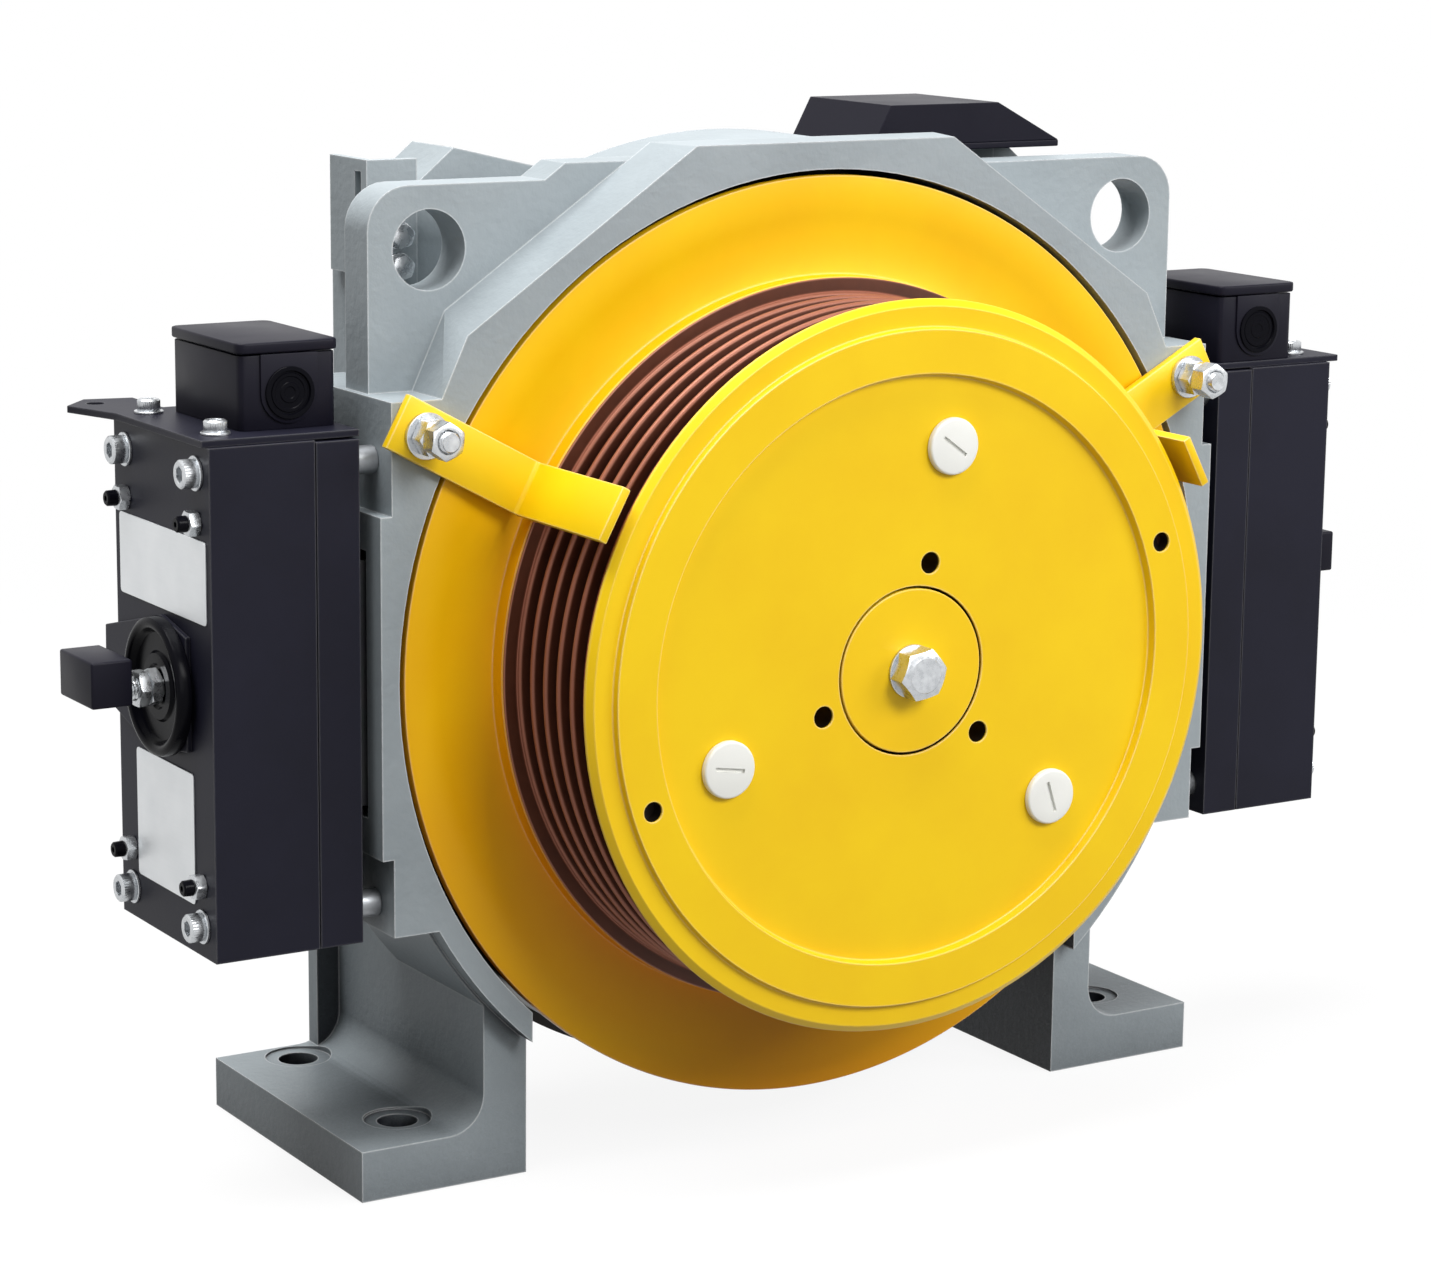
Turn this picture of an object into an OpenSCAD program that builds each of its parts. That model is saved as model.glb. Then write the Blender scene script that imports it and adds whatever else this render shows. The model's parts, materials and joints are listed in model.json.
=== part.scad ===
// Gearless elevator traction machine: grooved sheave, brake drum with magnets, two side brakes.
// Lengths in millimetres. X runs across the machine, Y from the sheave (-Y) back to the encoder,
// Z up. The origin lies in the plane of the foot soles, midway between the four foot bolts.

/* [Sheave] */
// Circle on which the rope centres run, diameter
pitch_d = 400; // [390:1:406]
// Rope diameter
rope_d = 10; // [8:0.5:11]
// Number of rope grooves
groove_n = 5; // [3:1:5]
// Distance from groove to groove
groove_pitch = 15; // [13:0.5:15]
// Width of the grooved rim between the disc shoulder and the front plate
rim_w = 86; // [84:1:90]
// Height of the groove crests over the rope centres
crest_h = 7; // [5:0.5:8]
// Height of the front plate's rim over the crests
flange_h = 5; // [3:0.5:6]
// Height of the disc's shoulder over the crests
shoulder_h = 13; // [11:0.5:13.5]
// Width of the disc's shoulder
shoulder_w = 11; // [10:0.5:12]
// Circle of the three plugs in the front plate, radius
plug_circle = 130; // [125:1:135]
// Diameter of a plug's head
plug_d = 34; // [30:1:38]
// Circle of the three jacking holes, radius
jack_circle = 62.5; // [61:0.5:66]
// Diameter of a jacking hole
jack_d = 11.5; // [10:0.5:13]
// Angle at which the rotor stands
rotor_turn = -10.7; // [-60:0.1:60]

/* [Rotor] */
// Outside radius of the brake drum
drum_r = 270; // [268:0.5:271]
// Width of the brake drum
drum_w = 90; // [86:1:92]
// Wall of the brake drum
drum_wall = 24; // [20:1:25]
// Thickness of the rotor's disc
disc_t = 16; // [12:1:20]
// Number of magnets
magnet_n = 32; // [24:4:36]
// Thickness of a magnet
magnet_t = 8; // [5:0.5:9]

/* [Frame] */
// Height of the machine's axis over the soles
axis_h = 300; // [298:1:310]
// Gap between the drum and the frame's bore
bore_gap = 7; // [6:0.5:7.5]
// How far the frame's face stands ahead of the disc
front_proud = 6; // [4:0.5:8]
// Depth of the raised front body
front_deep = 36; // [30:1:40]
// Height of the front body over the bore
top_over = 16; // [13:1:23]
// Thickness of the plate with the lifting eyes
lug_t = 28; // [22:1:32]
// Diameter of a lifting eye
eye_d = 45; // [36:1:50]
// How far a lifting eye lies inside the bore's side, across the machine
eye_in = 38; // [37:1:45]
// How far a lifting eye lies below the bore's top
eye_drop = 39; // [37:1:47]
// How far the brake faces stand outside the bore
face_over = 4; // [3:0.5:7]
// How far the middle pads stand outside the brake faces
pad_over = 7; // [5:0.5:9]
// Depth of the casting's side walls
side_y = 135; // [132:1:138]

/* [Feet] */
// How far the feet reach outside the bore
foot_over = 18; // [13:1:23]
// How far the inner face of a leg lies inside the bore's side
leg_in = 88; // [85:1:91]
// Thickness of a leg's wall
leg_t = 28; // [24:1:32]
// Thickness of a foot plate
foot_t = 30; // [26:1:34]
// Length of a foot along the axis
foot_len = 201; // [198:1:208]
// Distance of the foot bolts from the foot's outer edge
foot_edge = 45; // [41:1:47]
// Distance of the foot bolts along the axis
foot_bolt_y = 134; // [126:1:136]
// Diameter of a foot bolt hole
foot_hole_d = 24; // [20:1:27]

/* [Brakes] */
// Length of the sleeves between the brake faces and the magnet bodies
sleeve_len = 43; // [41:0.5:46]
// Thickness of a magnet body
magnet_body_t = 62.5; // [61:0.5:64]
// Thickness of an armature plate
armature_t = 26; // [24:0.5:27]
// Depth of a brake along the axis
brake_w = 129; // [127:1:131]
// Height of a brake
brake_h = 285; // [280:1:287]
// Air gap between armature and magnet
air_gap = 0.6; // [0.5:0.05:0.8]
// Thickness of a brake lining
lining_t = 8; // [6:0.5:9]
// Width of a brake shoe along the axis
shoe_w = 62; // [54:1:66]
// Height of a brake shoe
shoe_h = 140; // [120:2:144]

/* [Boxes] */
// Width of a brake's junction box
box_w = 58; // [54:1:60]
// Depth of a brake's junction box
box_d = 90; // [80:1:94]
// Height of a brake's junction box
box_h = 42; // [38:1:46]
// Wall of the boxes
box_wall = 2.5; // [2:0.25:4]

/* [Hidden] */

$fn = 64;
fine = 128;
cut = 1;
fit = 0.05;

// Sheave, radii and places along Y
bore_r = drum_r + bore_gap;
rope_r = pitch_d / 2;
crest_r = rope_r + crest_h;
flange_r = crest_r + flange_h;
shoulder_r = crest_r + shoulder_h;
groove_half = rope_d / 2 + 0.5;
spigot_r = rope_r - rope_d / 2 - 9;
rim_back = -shoulder_w;
rim_front = rim_back - rim_w;
groove_mid = rim_back - rim_w / 2 + 3;
plate_t = 4;
step_t = 5;
plate_face = rim_front - plate_t;
ring_face = plate_face - step_t;
ring_out = flange_r - 16.5;
ring_in = flange_r - 41.5;
hub_disc_r = 47.5;
hub_hole_r = hub_disc_r + 1.5;

// Rotor hub and shaft
hub_r = 78;
seat_r = 40;
hub_back = 20;
plate_back = rim_front + 14;
screw_seat = plate_back - 6;
shaft_front = plate_back + 2;
plug_turn = [-50, 5, -70];
shaft_end_r = 18;
enc_r = 44;
enc_back = 250;
cover_t = 5;
cover_circle = 96;
spigot_in = spigot_r - 16;
magnet_out = drum_r - drum_wall;
magnet_in = magnet_out - magnet_t;
magnet_y = 26;
magnet_len = 58;
motor_gap = 1;

// Bearings
fb_out = 75;
fb_in = 42.5;
fb_w = 36;
fb_y = 32;
rb_out = 65;
rb_in = 37.5;
rb_w = 31;
rb_y = 166;
fb_race_out = 66;
fb_race_in = 53;
rb_race_out = 57.5;
rb_race_in = 45.5;
roller_n = 20;
core_in = 118;
core_out = magnet_in - motor_gap;
core_slots = 36;
slot_deep = 32;
slot_half = 10;
tube_front = 27;
tube_back = 200;
hub_back_r = 112;

// Frame outline
notch_x = bore_r + face_over;
pad_x = notch_x + pad_over;
top_z = bore_r + top_over;
eye_x = bore_r - eye_in;
eye_z = bore_r - eye_drop;
foot_x = bore_r + foot_over;
leg_x = bore_r - leg_in;
leg_top = 92 - bore_r;
foot_bolt_x = foot_x - foot_edge;
corner_x = bore_r - 43;
corner_z = bore_r - 83;
ledge_x = bore_r - 27;
shoulder_x = bore_r - 37;
shoulder_z = top_z - 5;
low_z = -bore_r + 47;
tube_in = 54;
face_y = -front_proud;
lug_y = face_y + front_deep;
lug_back = lug_y + lug_t;
wall_y = drum_w + 6;
wall_t = 22;
wall_back = wall_y + wall_t;
rib_back = wall_back + 50;
shell_r = bore_r + 15;
side_z = 142;
ledge_z = side_z + 18;
pad_z = side_z - 45;
lip_r = bore_r + 13;
eye_edge = 38;
lug_top = eye_z + 36;
lug_round = 25;
web_top = lug_top + 9;
web_half = bore_r - 124;
slope_a = [bore_r - 189, top_z];
slope_b = [corner_x, corner_z];
slope_draft = 5.5;
foot_y = 9;
foot_mid = foot_y + 45 + foot_bolt_y / 2;
foot_back = foot_y + foot_len;
leg_fillet = 22;
spot_r = 20;
window_y = 12;
window_w = 72;
window_z = 76;

// Brakes, right side; the left one is its mirror image
magnet_x = notch_x + sleeve_len;
brake_x = magnet_x + magnet_body_t;
arm_x = magnet_x - air_gap;
arm_in = arm_x - armature_t;
brake_low = -side_z - 1.5;
brake_top = brake_low + brake_h;
bolt_z = side_z - 16;
bolt_y1 = 17;
bolt_y2 = brake_w - 16;
bolt_r = 5;
sleeve_r = 8;
head_r = 8;
head_h = 10;
spring_r = 7.5;
spring_up = 99;
spring_down = -103;
spring_end = magnet_x + 46;
grub_r = 4;
grub_end = brake_x + 6.5;
coil_out = 34;
coil_in = 19;
coil_deep = 42;
coil_step = 43;
rod_y = 58;
rod_z = 2;
rod_r = 6;
cup_r = 39;
cup_h = 8.5;
nut_m12 = 19;
rel_plate_t = 3;
cup_x = brake_x + rel_plate_t;
nut_h = 7;
nuts_x = cup_x + 4;
block_x = nuts_x + 2 * nut_h + 5;
block_l = 24;
spring_p = (spring_end - 6 - magnet_x) / 7;
shoe_y = window_y + (window_w - shoe_w) / 2;
lining_r = drum_r + 0.3;
shoe_r = lining_r + lining_t;
top_t = 4;
label_t = 0.8;
screw_x = brake_x - 14;
top_screw_y = [22, brake_w - 17];
ear_y = brake_w + 31;

// Rope guards
guard_a = 151.7;
guard_r = bore_r + 21.6;
guard_w = 32;
guard_in = shoulder_r + 1.5;
guard_out = guard_in + 5.5;
guard_end = guard_r + 19;
guard_tip = ring_face + 1;
guard_t = 6;
nut_y = face_y - guard_t;
stud_tip = nut_y - 30;

// Boxes
jb_x = brake_x - 28.5 - box_w;
jb_y = 22;
jb_shift = 18;
jb_z = brake_top + top_t;
entry_z = jb_z + 20;
entry_r = 12;
tb_x = eye_x - 163;
tb_w = 138;
tb_top = tb_w - 46;
tb_z = shoulder_z - 9;
tb_y = lug_back + 4;
tb_d = 90;
tb_h = 28;
bracket_x = -shoulder_x + 14;
bracket_low = shoulder_z - 78;
bracket_y = wall_y + 2;
bracket_z = [bracket_low + 12, bracket_low + 30];

// Puts a piece drawn about the machine's axis into the frame of the feet
module placed() translate([0, -foot_mid, axis_h]) children();

// Repeats a piece on both sides of the machine
module both() {
  children();
  mirror([1, 0, 0]) children();
}

// Turned piece along Y; points are [radius, y]
module turned(pts) rotate([-90, 0, 0]) rotate_extrude($fn = fine) polygon(pts);

// Plate across the axis: outline in X and Z, from y0 on
module slab_xz(y0, t) translate([0, y0 + t, 0]) rotate([90, 0, 0]) linear_extrude(t) children();

// Plate along the axis: outline in Y and Z, from x0 on
module slab_yz(x0, t) translate([x0, 0, 0]) rotate([90, 0, 90]) linear_extrude(t) children();

// Round bars along Y and along X
module bar_y(r, y0, y1) translate([0, y0, 0]) rotate([-90, 0, 0]) cylinder(r = r, h = y1 - y0);
module bar_x(r, x0, x1) translate([x0, 0, 0]) rotate([0, 90, 0]) cylinder(r = r, h = x1 - x0);

// Hexagon across flats, along Y and along X
module hex_y(af, y0, y1) translate([0, y0, 0]) rotate([-90, 0, 0])
  cylinder(r = af / sqrt(3), h = y1 - y0, $fn = 6);
module hex_x(af, x0, x1) translate([x0, 0, 0]) rotate([0, 90, 0])
  cylinder(r = af / sqrt(3), h = x1 - x0, $fn = 6);

// Block between two corners
module block(x0, x1, y0, y1, z0, z1) translate([x0, y0, z0]) cube([x1 - x0, y1 - y0, z1 - z0]);

// Place on a circle about the axis
module at_angle(r, a) translate([r * cos(a), 0, r * sin(a)]) children();

// Places of the four holding bolts and of the four spring adjusters of a brake
module at_bolts() for (y = [bolt_y1, bolt_y2], z = [bolt_z, -bolt_z]) translate([0, y, z]) children();
module at_springs() for (y = [bolt_y1, bolt_y2], z = [spring_up, spring_down])
  translate([0, y, z]) children();

// Points of an arc, and a half outline completed by its mirror image
function arc(x, z, r, a0, a1) = [for (i = [0 : 8])
  [x + r * cos(a0 + (a1 - a0) * i / 8), z + r * sin(a0 + (a1 - a0) * i / 8)]];
function whole(half) = concat(half, [for (i = [len(half) - 1 : -1 : 0]) [-half[i][0], half[i][1]]]);

// Right half of the outlines: brake faces, front body, plate with the lifting eyes
side_half = [[notch_x, ledge_z], [notch_x, pad_z], [pad_x, pad_z], [pad_x, -pad_z],
  [notch_x, -pad_z], [notch_x, -side_z]];
front_half = concat([slope_a, slope_b, [ledge_x, ledge_z]], side_half);
lug_half = concat([[web_half, web_top], [web_half + 13, lug_top]],
  arc(eye_x + eye_edge - lug_round, lug_top - lug_round, lug_round, 90, 0),
  [[eye_x + eye_edge, ledge_z]], side_half);
leg_half = concat([[leg_x, -axis_h], [foot_x, -axis_h], [foot_x, foot_t - axis_h]],
  arc(leg_x + leg_t + leg_fillet, foot_t + leg_fillet - axis_h, leg_fillet, 270, 180),
  [[leg_x + leg_t, leg_top], [leg_x, leg_top]]);
shoulder_half = [[shoulder_x - 110, shoulder_z - 98], [shoulder_x - 104, shoulder_z - 12],
  [shoulder_x - 52, shoulder_z],
  [shoulder_x, shoulder_z - 43], [shoulder_x, ledge_z - 10]];

// Draft of the front body's sloping side: nothing at its face, widest at the lifting eyes
module slope_wedge() {
  side = (slope_b - slope_a) / norm(slope_b - slope_a);
  out = [-side[1], side[0]];
  down = slope_b - [ledge_x, ledge_z];
  hull() {
    slab_xz(face_y, fit) polygon([slope_a, slope_b, (slope_a + slope_b) / 2 - 6 * out]);
    slab_xz(lug_y - fit, fit) polygon([slope_a, slope_a + [slope_draft / out[0], 0],
      slope_b + down * slope_draft / (down * out), slope_b]);
  }
}

// Round shell above a level
module shell(low) intersection() {
  circle(shell_r, $fn = fine);
  translate([-shell_r, low]) square([2 * shell_r, 2 * shell_r]);
}

// Outline of the legs with the shell that joins them to the sides
module legs_and_shell() {
  polygon(leg_half);
  mirror([1, 0]) polygon(leg_half);
  intersection() {
    circle(shell_r, $fn = fine);
    for (x = [leg_x, -leg_x - 110]) translate([x, low_z]) square([110, 100]);
  }
}

// One layer of the housing round the drum, between two places along Y
module ring_layer(y0, y1) slab_xz(y0, y1 - y0) difference() {
  children();
  circle(bore_r, $fn = fine);
}

// Bearing tube with its seats
module bearing_tube() turned([[fb_out + fit, tube_front], [core_in, tube_front],
  [core_in, wall_y + 8], [hub_back_r, wall_y + 8], [hub_back_r, tube_back],
  [rb_out + fit, tube_back], [rb_out + fit, rb_y], [tube_in, rb_y], [tube_in, fb_y + fb_w],
  [fb_out + fit, fb_y + fb_w]]);

// Cast housing with lifting eyes, brake faces, legs and bearing tube
module frame() color([0.52, 0.56, 0.58]) placed() difference() {
  union() {
    ring_layer(face_y, foot_y) {
      polygon(whole(front_half));
      intersection() {
        circle(lip_r, $fn = fine);
        for (x = [leg_x + 4, -leg_x - 114]) translate([x, low_z]) square([110, 100]);
      }
    }
    ring_layer(foot_y, lug_y) {
      polygon(whole(front_half));
      legs_and_shell();
    }
    ring_layer(lug_y, lug_back) {
      difference() {
        polygon(whole(lug_half));
        for (s = [-1, 1]) translate([s * eye_x, eye_z]) circle(eye_d / 2);
      }
      shell(-side_z);
      legs_and_shell();
    }
    ring_layer(lug_back, wall_y) {
      polygon(whole(side_half));
      shell(-side_z);
      legs_and_shell();
    }
    slab_xz(wall_y, wall_t) difference() {
      union() {
        polygon(whole(side_half));
        shell(low_z + 5);
        for (m = [0, 1]) mirror([m, 0]) polygon(leg_half);
      }
      circle(90);
    }
    bearing_tube();
    both() {
      slope_wedge();
      slab_xz(wall_back, foot_back - wall_back) polygon(leg_half);
      slab_yz(leg_x, leg_t) polygon([[wall_back, leg_top - cut], [foot_back, leg_top - cut],
        [side_y, leg_top + 85], [wall_back, leg_top + 85]]);
      block(leg_x + leg_t - cut, leg_x + leg_t + 15, foot_back - 12, foot_back,
        foot_t - axis_h - cut, leg_top - 5);
      slab_xz(wall_y + 2, wall_t + 30) polygon(shoulder_half);
      block(notch_x - 35, notch_x, wall_back - cut, side_y, -side_z + 4, side_z - 4);
    }
    block(tb_x + 6, tb_x + tb_w - 24, wall_y + 1, rib_back - 18, ledge_z - 10, tb_z);
    for (a = [0 : 45 : 315]) rotate([0, a, 0])
      block(hub_back_r - 6, a == 90 ? -low_z - 8 : shell_r - 26, wall_back - cut, rib_back, -8, 8);
  }
  both() {
    block(bore_r - 47, shell_r + cut, window_y, window_y + window_w, -window_z, window_z);
    at_bolts() bar_x(bolt_r + fit, notch_x - 26, notch_x + cut);
    at_angle(guard_r, 180 - guard_a) bar_y(rod_r + fit, face_y - cut, face_y + 20);
    for (y = [foot_mid - foot_bolt_y / 2, foot_mid + foot_bolt_y / 2])
      translate([foot_bolt_x, y, -axis_h]) {
        translate([0, 0, -cut]) cylinder(d = foot_hole_d, h = foot_t + 2 * cut);
        translate([0, 0, foot_t - 1.5]) cylinder(r = spot_r, h = 10);
      }
  }
  block(tb_x - 3, tb_x + tb_w + 3, tb_y - 2, tb_y + tb_d + 3, tb_z, top_z + cut);
  block(slope_a[0], tb_x + tb_w, lug_y, tb_y, lug_top, top_z + cut);
  for (a = [0 : 60 : 300]) at_angle(cover_circle, a)
    bar_y(3 + fit, tube_back - 14, tube_back + cut);
  for (a = [30 : 60 : 330]) at_angle(cover_circle, a)
    bar_y(3 + fit, tube_front - cut, tube_front + 14);
  for (z = bracket_z) translate([bracket_x, 0, z])
    bar_y(4 + fit, bracket_y - cut, bracket_y + 20);
}

// Cast rotor: hub, disc, brake drum and the spigot that carries the grooved rim
module rotor() color([0.93, 0.70, 0.08]) placed() difference() {
  union() {
    turned([[seat_r + fit, plate_back], [hub_r, plate_back], [hub_r, 0], [spigot_in, 0],
      [spigot_in, rim_front], [spigot_r, rim_front], [spigot_r, rim_back],
      [shoulder_r, rim_back], [shoulder_r, 0], [drum_r, 0], [drum_r, drum_w],
      [magnet_out, drum_w], [magnet_out, disc_t], [hub_r, disc_t], [hub_r, hub_back],
      [seat_r + fit, hub_back]]);
    for (a = [0 : 120 : 240]) at_angle(plug_circle, rotor_turn - 30 + a)
      bar_y(20, plate_back, disc_t / 2);
  }
  for (a = [0 : 120 : 240]) at_angle(plug_circle, rotor_turn - 30 + a)
    bar_y(bolt_r + fit, plate_back - cut, plate_back + 34);
  for (a = [0 : 120 : 240]) at_angle(jack_circle, rotor_turn - 30 + a)
    bar_y(jack_d / 2, plate_back - cut, plate_back + 20);
}

// Grooved rim on which the ropes run
module rope_rim() color([0.36, 0.20, 0.14]) placed() difference() {
  turned([[spigot_r + fit, rim_back], [shoulder_r - 0.3, rim_back], [shoulder_r - 0.3, rim_back - 2],
    [crest_r, rim_back - 2], [crest_r, rim_front], [spigot_r + fit, rim_front]]);
  for (i = [0 : groove_n - 1]) translate([0, groove_mid + (i - (groove_n - 1) / 2) * groove_pitch, 0])
    turned([[rope_r - rope_d / 2, -1.5], [rope_r - rope_d / 2 + 1.4, -groove_half + 1.4],
      [rope_r, -groove_half], [crest_r + cut, -groove_half - 0.5],
      [crest_r + cut, groove_half + 0.5], [rope_r, groove_half],
      [rope_r - rope_d / 2 + 1.4, groove_half - 1.4], [rope_r - rope_d / 2, 1.5]]);
}

// Front plate with the raised ring
module front_plate() color([0.96, 0.76, 0.10]) placed() difference() {
  turned([[hub_hole_r, plate_back], [spigot_in - 0.5, plate_back], [spigot_in - 0.5, rim_front],
    [flange_r, rim_front], [flange_r, rim_front - 1.5], [flange_r - 4, plate_face - 1],
    [ring_out + 1, plate_face - 1], [ring_out, ring_face], [ring_in, ring_face],
    [ring_in - 1.5, plate_face], [hub_hole_r, plate_face]]);
  for (a = [0 : 120 : 240]) at_angle(plug_circle, rotor_turn - 30 + a) {
    bar_y(plug_d / 2 - 3, plate_face - cut, screw_seat);
    bar_y(bolt_r + 0.5, plate_face - cut, plate_back + cut);
  }
  for (a = [0 : 120 : 240]) at_angle(jack_circle, rotor_turn - 30 + a)
    bar_y(jack_d / 2 + 0.5, plate_face - cut, plate_back + cut);
  for (a = [0, 180]) at_angle((ring_out + ring_in) / 2, rotor_turn + 30 + a)
    bar_y(jack_d / 2, ring_face - cut, rim_front + cut);
}

// Three socket screws that hold the front plate
module rim_screws() color([0.30, 0.30, 0.32]) placed()
  for (a = [0 : 120 : 240]) at_angle(plug_circle, rotor_turn - 30 + a) difference() {
    union() {
      bar_y(head_r, screw_seat - head_h, screw_seat);
      bar_y(bolt_r, screw_seat - cut, plate_back + 30);
    }
    hex_y(8, screw_seat - head_h - cut, screw_seat - head_h + 5);
  }

// Three slotted plastic plugs over the screws
module plugs() color([0.92, 0.92, 0.90]) placed() for (i = [0 : 2])
  at_angle(plug_circle, rotor_turn - 30 + 120 * i) difference() {
    union() {
      bar_y(plug_d / 2, plate_face - 3, plate_face);
      bar_y(plug_d / 2 - 2, plate_face - 4, plate_face - 2);
      bar_y(plug_d / 2 - 3 - fit, plate_face - cut, screw_seat - head_h - 0.3);
    }
    rotate([0, plug_turn[i], 0]) block(-9, 9, plate_face - 6, plate_face - 2, -1.2, 1.2);
  }

// Main shaft
module shaft() color([0.62, 0.63, 0.65]) placed() difference() {
  turned([[0, shaft_front], [seat_r - 1.5, shaft_front], [seat_r, shaft_front + 1.5],
    [seat_r, hub_back + fit], [fb_in + 7, hub_back + fit], [fb_in + 7, fb_y], [fb_in, fb_y],
    [fb_in, rb_y], [rb_in, rb_y], [rb_in, rb_y + rb_w], [shaft_end_r, rb_y + rb_w],
    [shaft_end_r, enc_back - 12], [0, enc_back - 12]]);
  bar_y(10 + fit, shaft_front - cut, shaft_front + 45);
}

// Disc on the shaft's end that holds the rotor on its seat
module shaft_disc() color([0.96, 0.76, 0.10]) placed() difference() {
  bar_y(hub_disc_r, plate_face, plate_back, $fn = fine);
  bar_y(10.5, plate_face - cut, plate_back + cut);
}

// Hexagon bolt in the shaft's end, with its washer
module shaft_bolt() color([0.80, 0.81, 0.82]) placed() difference() {
  union() {
    bar_y(17, plate_face - 2, plate_face);
    hex_y(30, plate_face - 14.5, plate_face - 2);
    bar_y(13.5, plate_face - 15.2, plate_face - 10);
    bar_y(10, plate_face - cut, shaft_front + 40);
  }
}

// Ring of a bearing between two radii
module race(r0, r1, y0, w) turned([[r0, y0 + 1], [r0 + 1, y0], [r1 - 1, y0], [r1, y0 + 1],
  [r1, y0 + w - 1], [r1 - 1, y0 + w], [r0 + 1, y0 + w], [r0, y0 + w - 1]]);

// Rollers between two raceways
module rollers(r0, r1, y0, w, n) for (i = [0 : n - 1])
  at_angle((r0 + r1) / 2, 360 * i / n) bar_y((r1 - r0) / 2 - fit, y0 + 5, y0 + w - 5);

module front_bearing_outer() color([0.70, 0.71, 0.73]) placed() race(fb_race_out, fb_out, fb_y, fb_w);
module front_bearing_inner() color([0.70, 0.71, 0.73]) placed()
  race(fb_in + fit, fb_race_in, fb_y, fb_w);
module front_bearing_rollers() color([0.78, 0.79, 0.80]) placed()
  rollers(fb_race_in, fb_race_out, fb_y, fb_w, roller_n);
module rear_bearing_outer() color([0.70, 0.71, 0.73]) placed() race(rb_race_out, rb_out, rb_y, rb_w);
module rear_bearing_inner() color([0.70, 0.71, 0.73]) placed()
  race(rb_in + fit, rb_race_in, rb_y, rb_w);
module rear_bearing_rollers() color([0.78, 0.79, 0.80]) placed()
  rollers(rb_race_in, rb_race_out, rb_y, rb_w, roller_n);

// Magnets bonded inside the drum
module magnets() color([0.35, 0.36, 0.38]) placed() difference() {
  turned([[magnet_in, magnet_y], [magnet_out, magnet_y], [magnet_out, magnet_y + magnet_len],
    [magnet_in, magnet_y + magnet_len]]);
  for (i = [0 : magnet_n - 1]) rotate([0, 360 * i / magnet_n, 0])
    block(magnet_in - 2, magnet_out + 2, magnet_y - cut, magnet_y + magnet_len + cut, -1.5, 1.5);
}

// Laminated stator core with its slots
module stator_core() color([0.45, 0.45, 0.47]) placed() difference() {
  turned([[core_in + fit, magnet_y + cut], [core_out, magnet_y + cut],
    [core_out, magnet_y + magnet_len], [core_in + fit, magnet_y + magnet_len]]);
  for (i = [0 : core_slots - 1]) rotate([0, 360 * i / core_slots, 0])
    block(core_out - slot_deep, core_out + 2, magnet_y, magnet_y + magnet_len + cut, -slot_half,
      slot_half);
}

// Winding: bars in the slots and a ring of coil heads at each end
module winding() color([0.62, 0.33, 0.16]) placed() {
  for (y = [magnet_y - 7, magnet_y + magnet_len + 1])
    turned([[core_out - slot_deep + 1, y], [core_out - 4, y], [core_out - 4, y + 7],
      [core_out - slot_deep + 1, y + 7]]);
  for (i = [0 : core_slots - 1]) rotate([0, 360 * i / core_slots, 0])
    block(core_out - slot_deep + 1, core_out - 4, magnet_y - 1, magnet_y + magnet_len + 2,
      0.3 - slot_half, slot_half - 0.3);
}

// Bearing covers at both ends of the bearing tube
module front_cover() color([0.40, 0.44, 0.46]) placed() difference() {
  turned([[fb_in + 9, tube_front - cover_t], [104, tube_front - cover_t], [104, tube_front],
    [fb_out - fit, tube_front], [fb_out - fit, fb_y], [fb_race_out + 1, fb_y],
    [fb_race_out + 1, tube_front], [fb_in + 9, tube_front]]);
  for (a = [30 : 60 : 330]) at_angle(cover_circle, a)
    bar_y(3.3, tube_front - cover_t - cut, tube_front + cut);
}
module rear_cover() color([0.40, 0.44, 0.46]) placed() difference() {
  turned([[shaft_end_r + 6, tube_back], [rb_race_out + 1, tube_back],
    [rb_race_out + 1, rb_y + rb_w], [rb_out - fit, rb_y + rb_w], [rb_out - fit, tube_back],
    [104, tube_back], [104, tube_back + cover_t], [shaft_end_r + 6, tube_back + cover_t]]);
  for (a = [0 : 60 : 300]) at_angle(cover_circle, a)
    bar_y(3.3, tube_back - cut, tube_back + cover_t + cut);
}

// Socket screws of the two covers
module cover_screws() color([0.30, 0.30, 0.32]) placed() {
  for (a = [30 : 60 : 330]) at_angle(cover_circle, a) {
    bar_y(5, tube_front - cover_t - 4, tube_front - cover_t);
    bar_y(3, tube_front - cover_t - cut, tube_front + 12);
  }
  for (a = [0 : 60 : 300]) at_angle(cover_circle, a) {
    bar_y(5, tube_back + cover_t, tube_back + cover_t + 4);
    bar_y(3, tube_back - 12, tube_back + cover_t + cut);
  }
}

// Encoder behind the rear cover
module encoder_body() color([0.16, 0.16, 0.17]) placed() difference() {
  union() {
    turned([[enc_r - 7, tube_back + cover_t], [enc_r + 12, tube_back + cover_t],
      [enc_r + 12, tube_back + cover_t + 5], [enc_r, tube_back + cover_t + 5],
      [enc_r, enc_back - 4], [enc_r - 4, enc_back], [0, enc_back], [0, enc_back - 6],
      [enc_r - 7, enc_back - 6]]);
    translate([0, enc_back - 22, -enc_r - 12]) cylinder(r = 9, h = 20);
  }
  translate([0, enc_back - 22, -enc_r - 13]) cylinder(r = 4.5, h = 22);
}
module encoder_rotor() color([0.70, 0.71, 0.73]) placed()
  turned([[shaft_end_r + fit, tube_back + cover_t + 6], [enc_r - 12, tube_back + cover_t + 6],
    [enc_r - 12, enc_back - 14], [shaft_end_r + fit, enc_back - 14]]);

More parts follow.
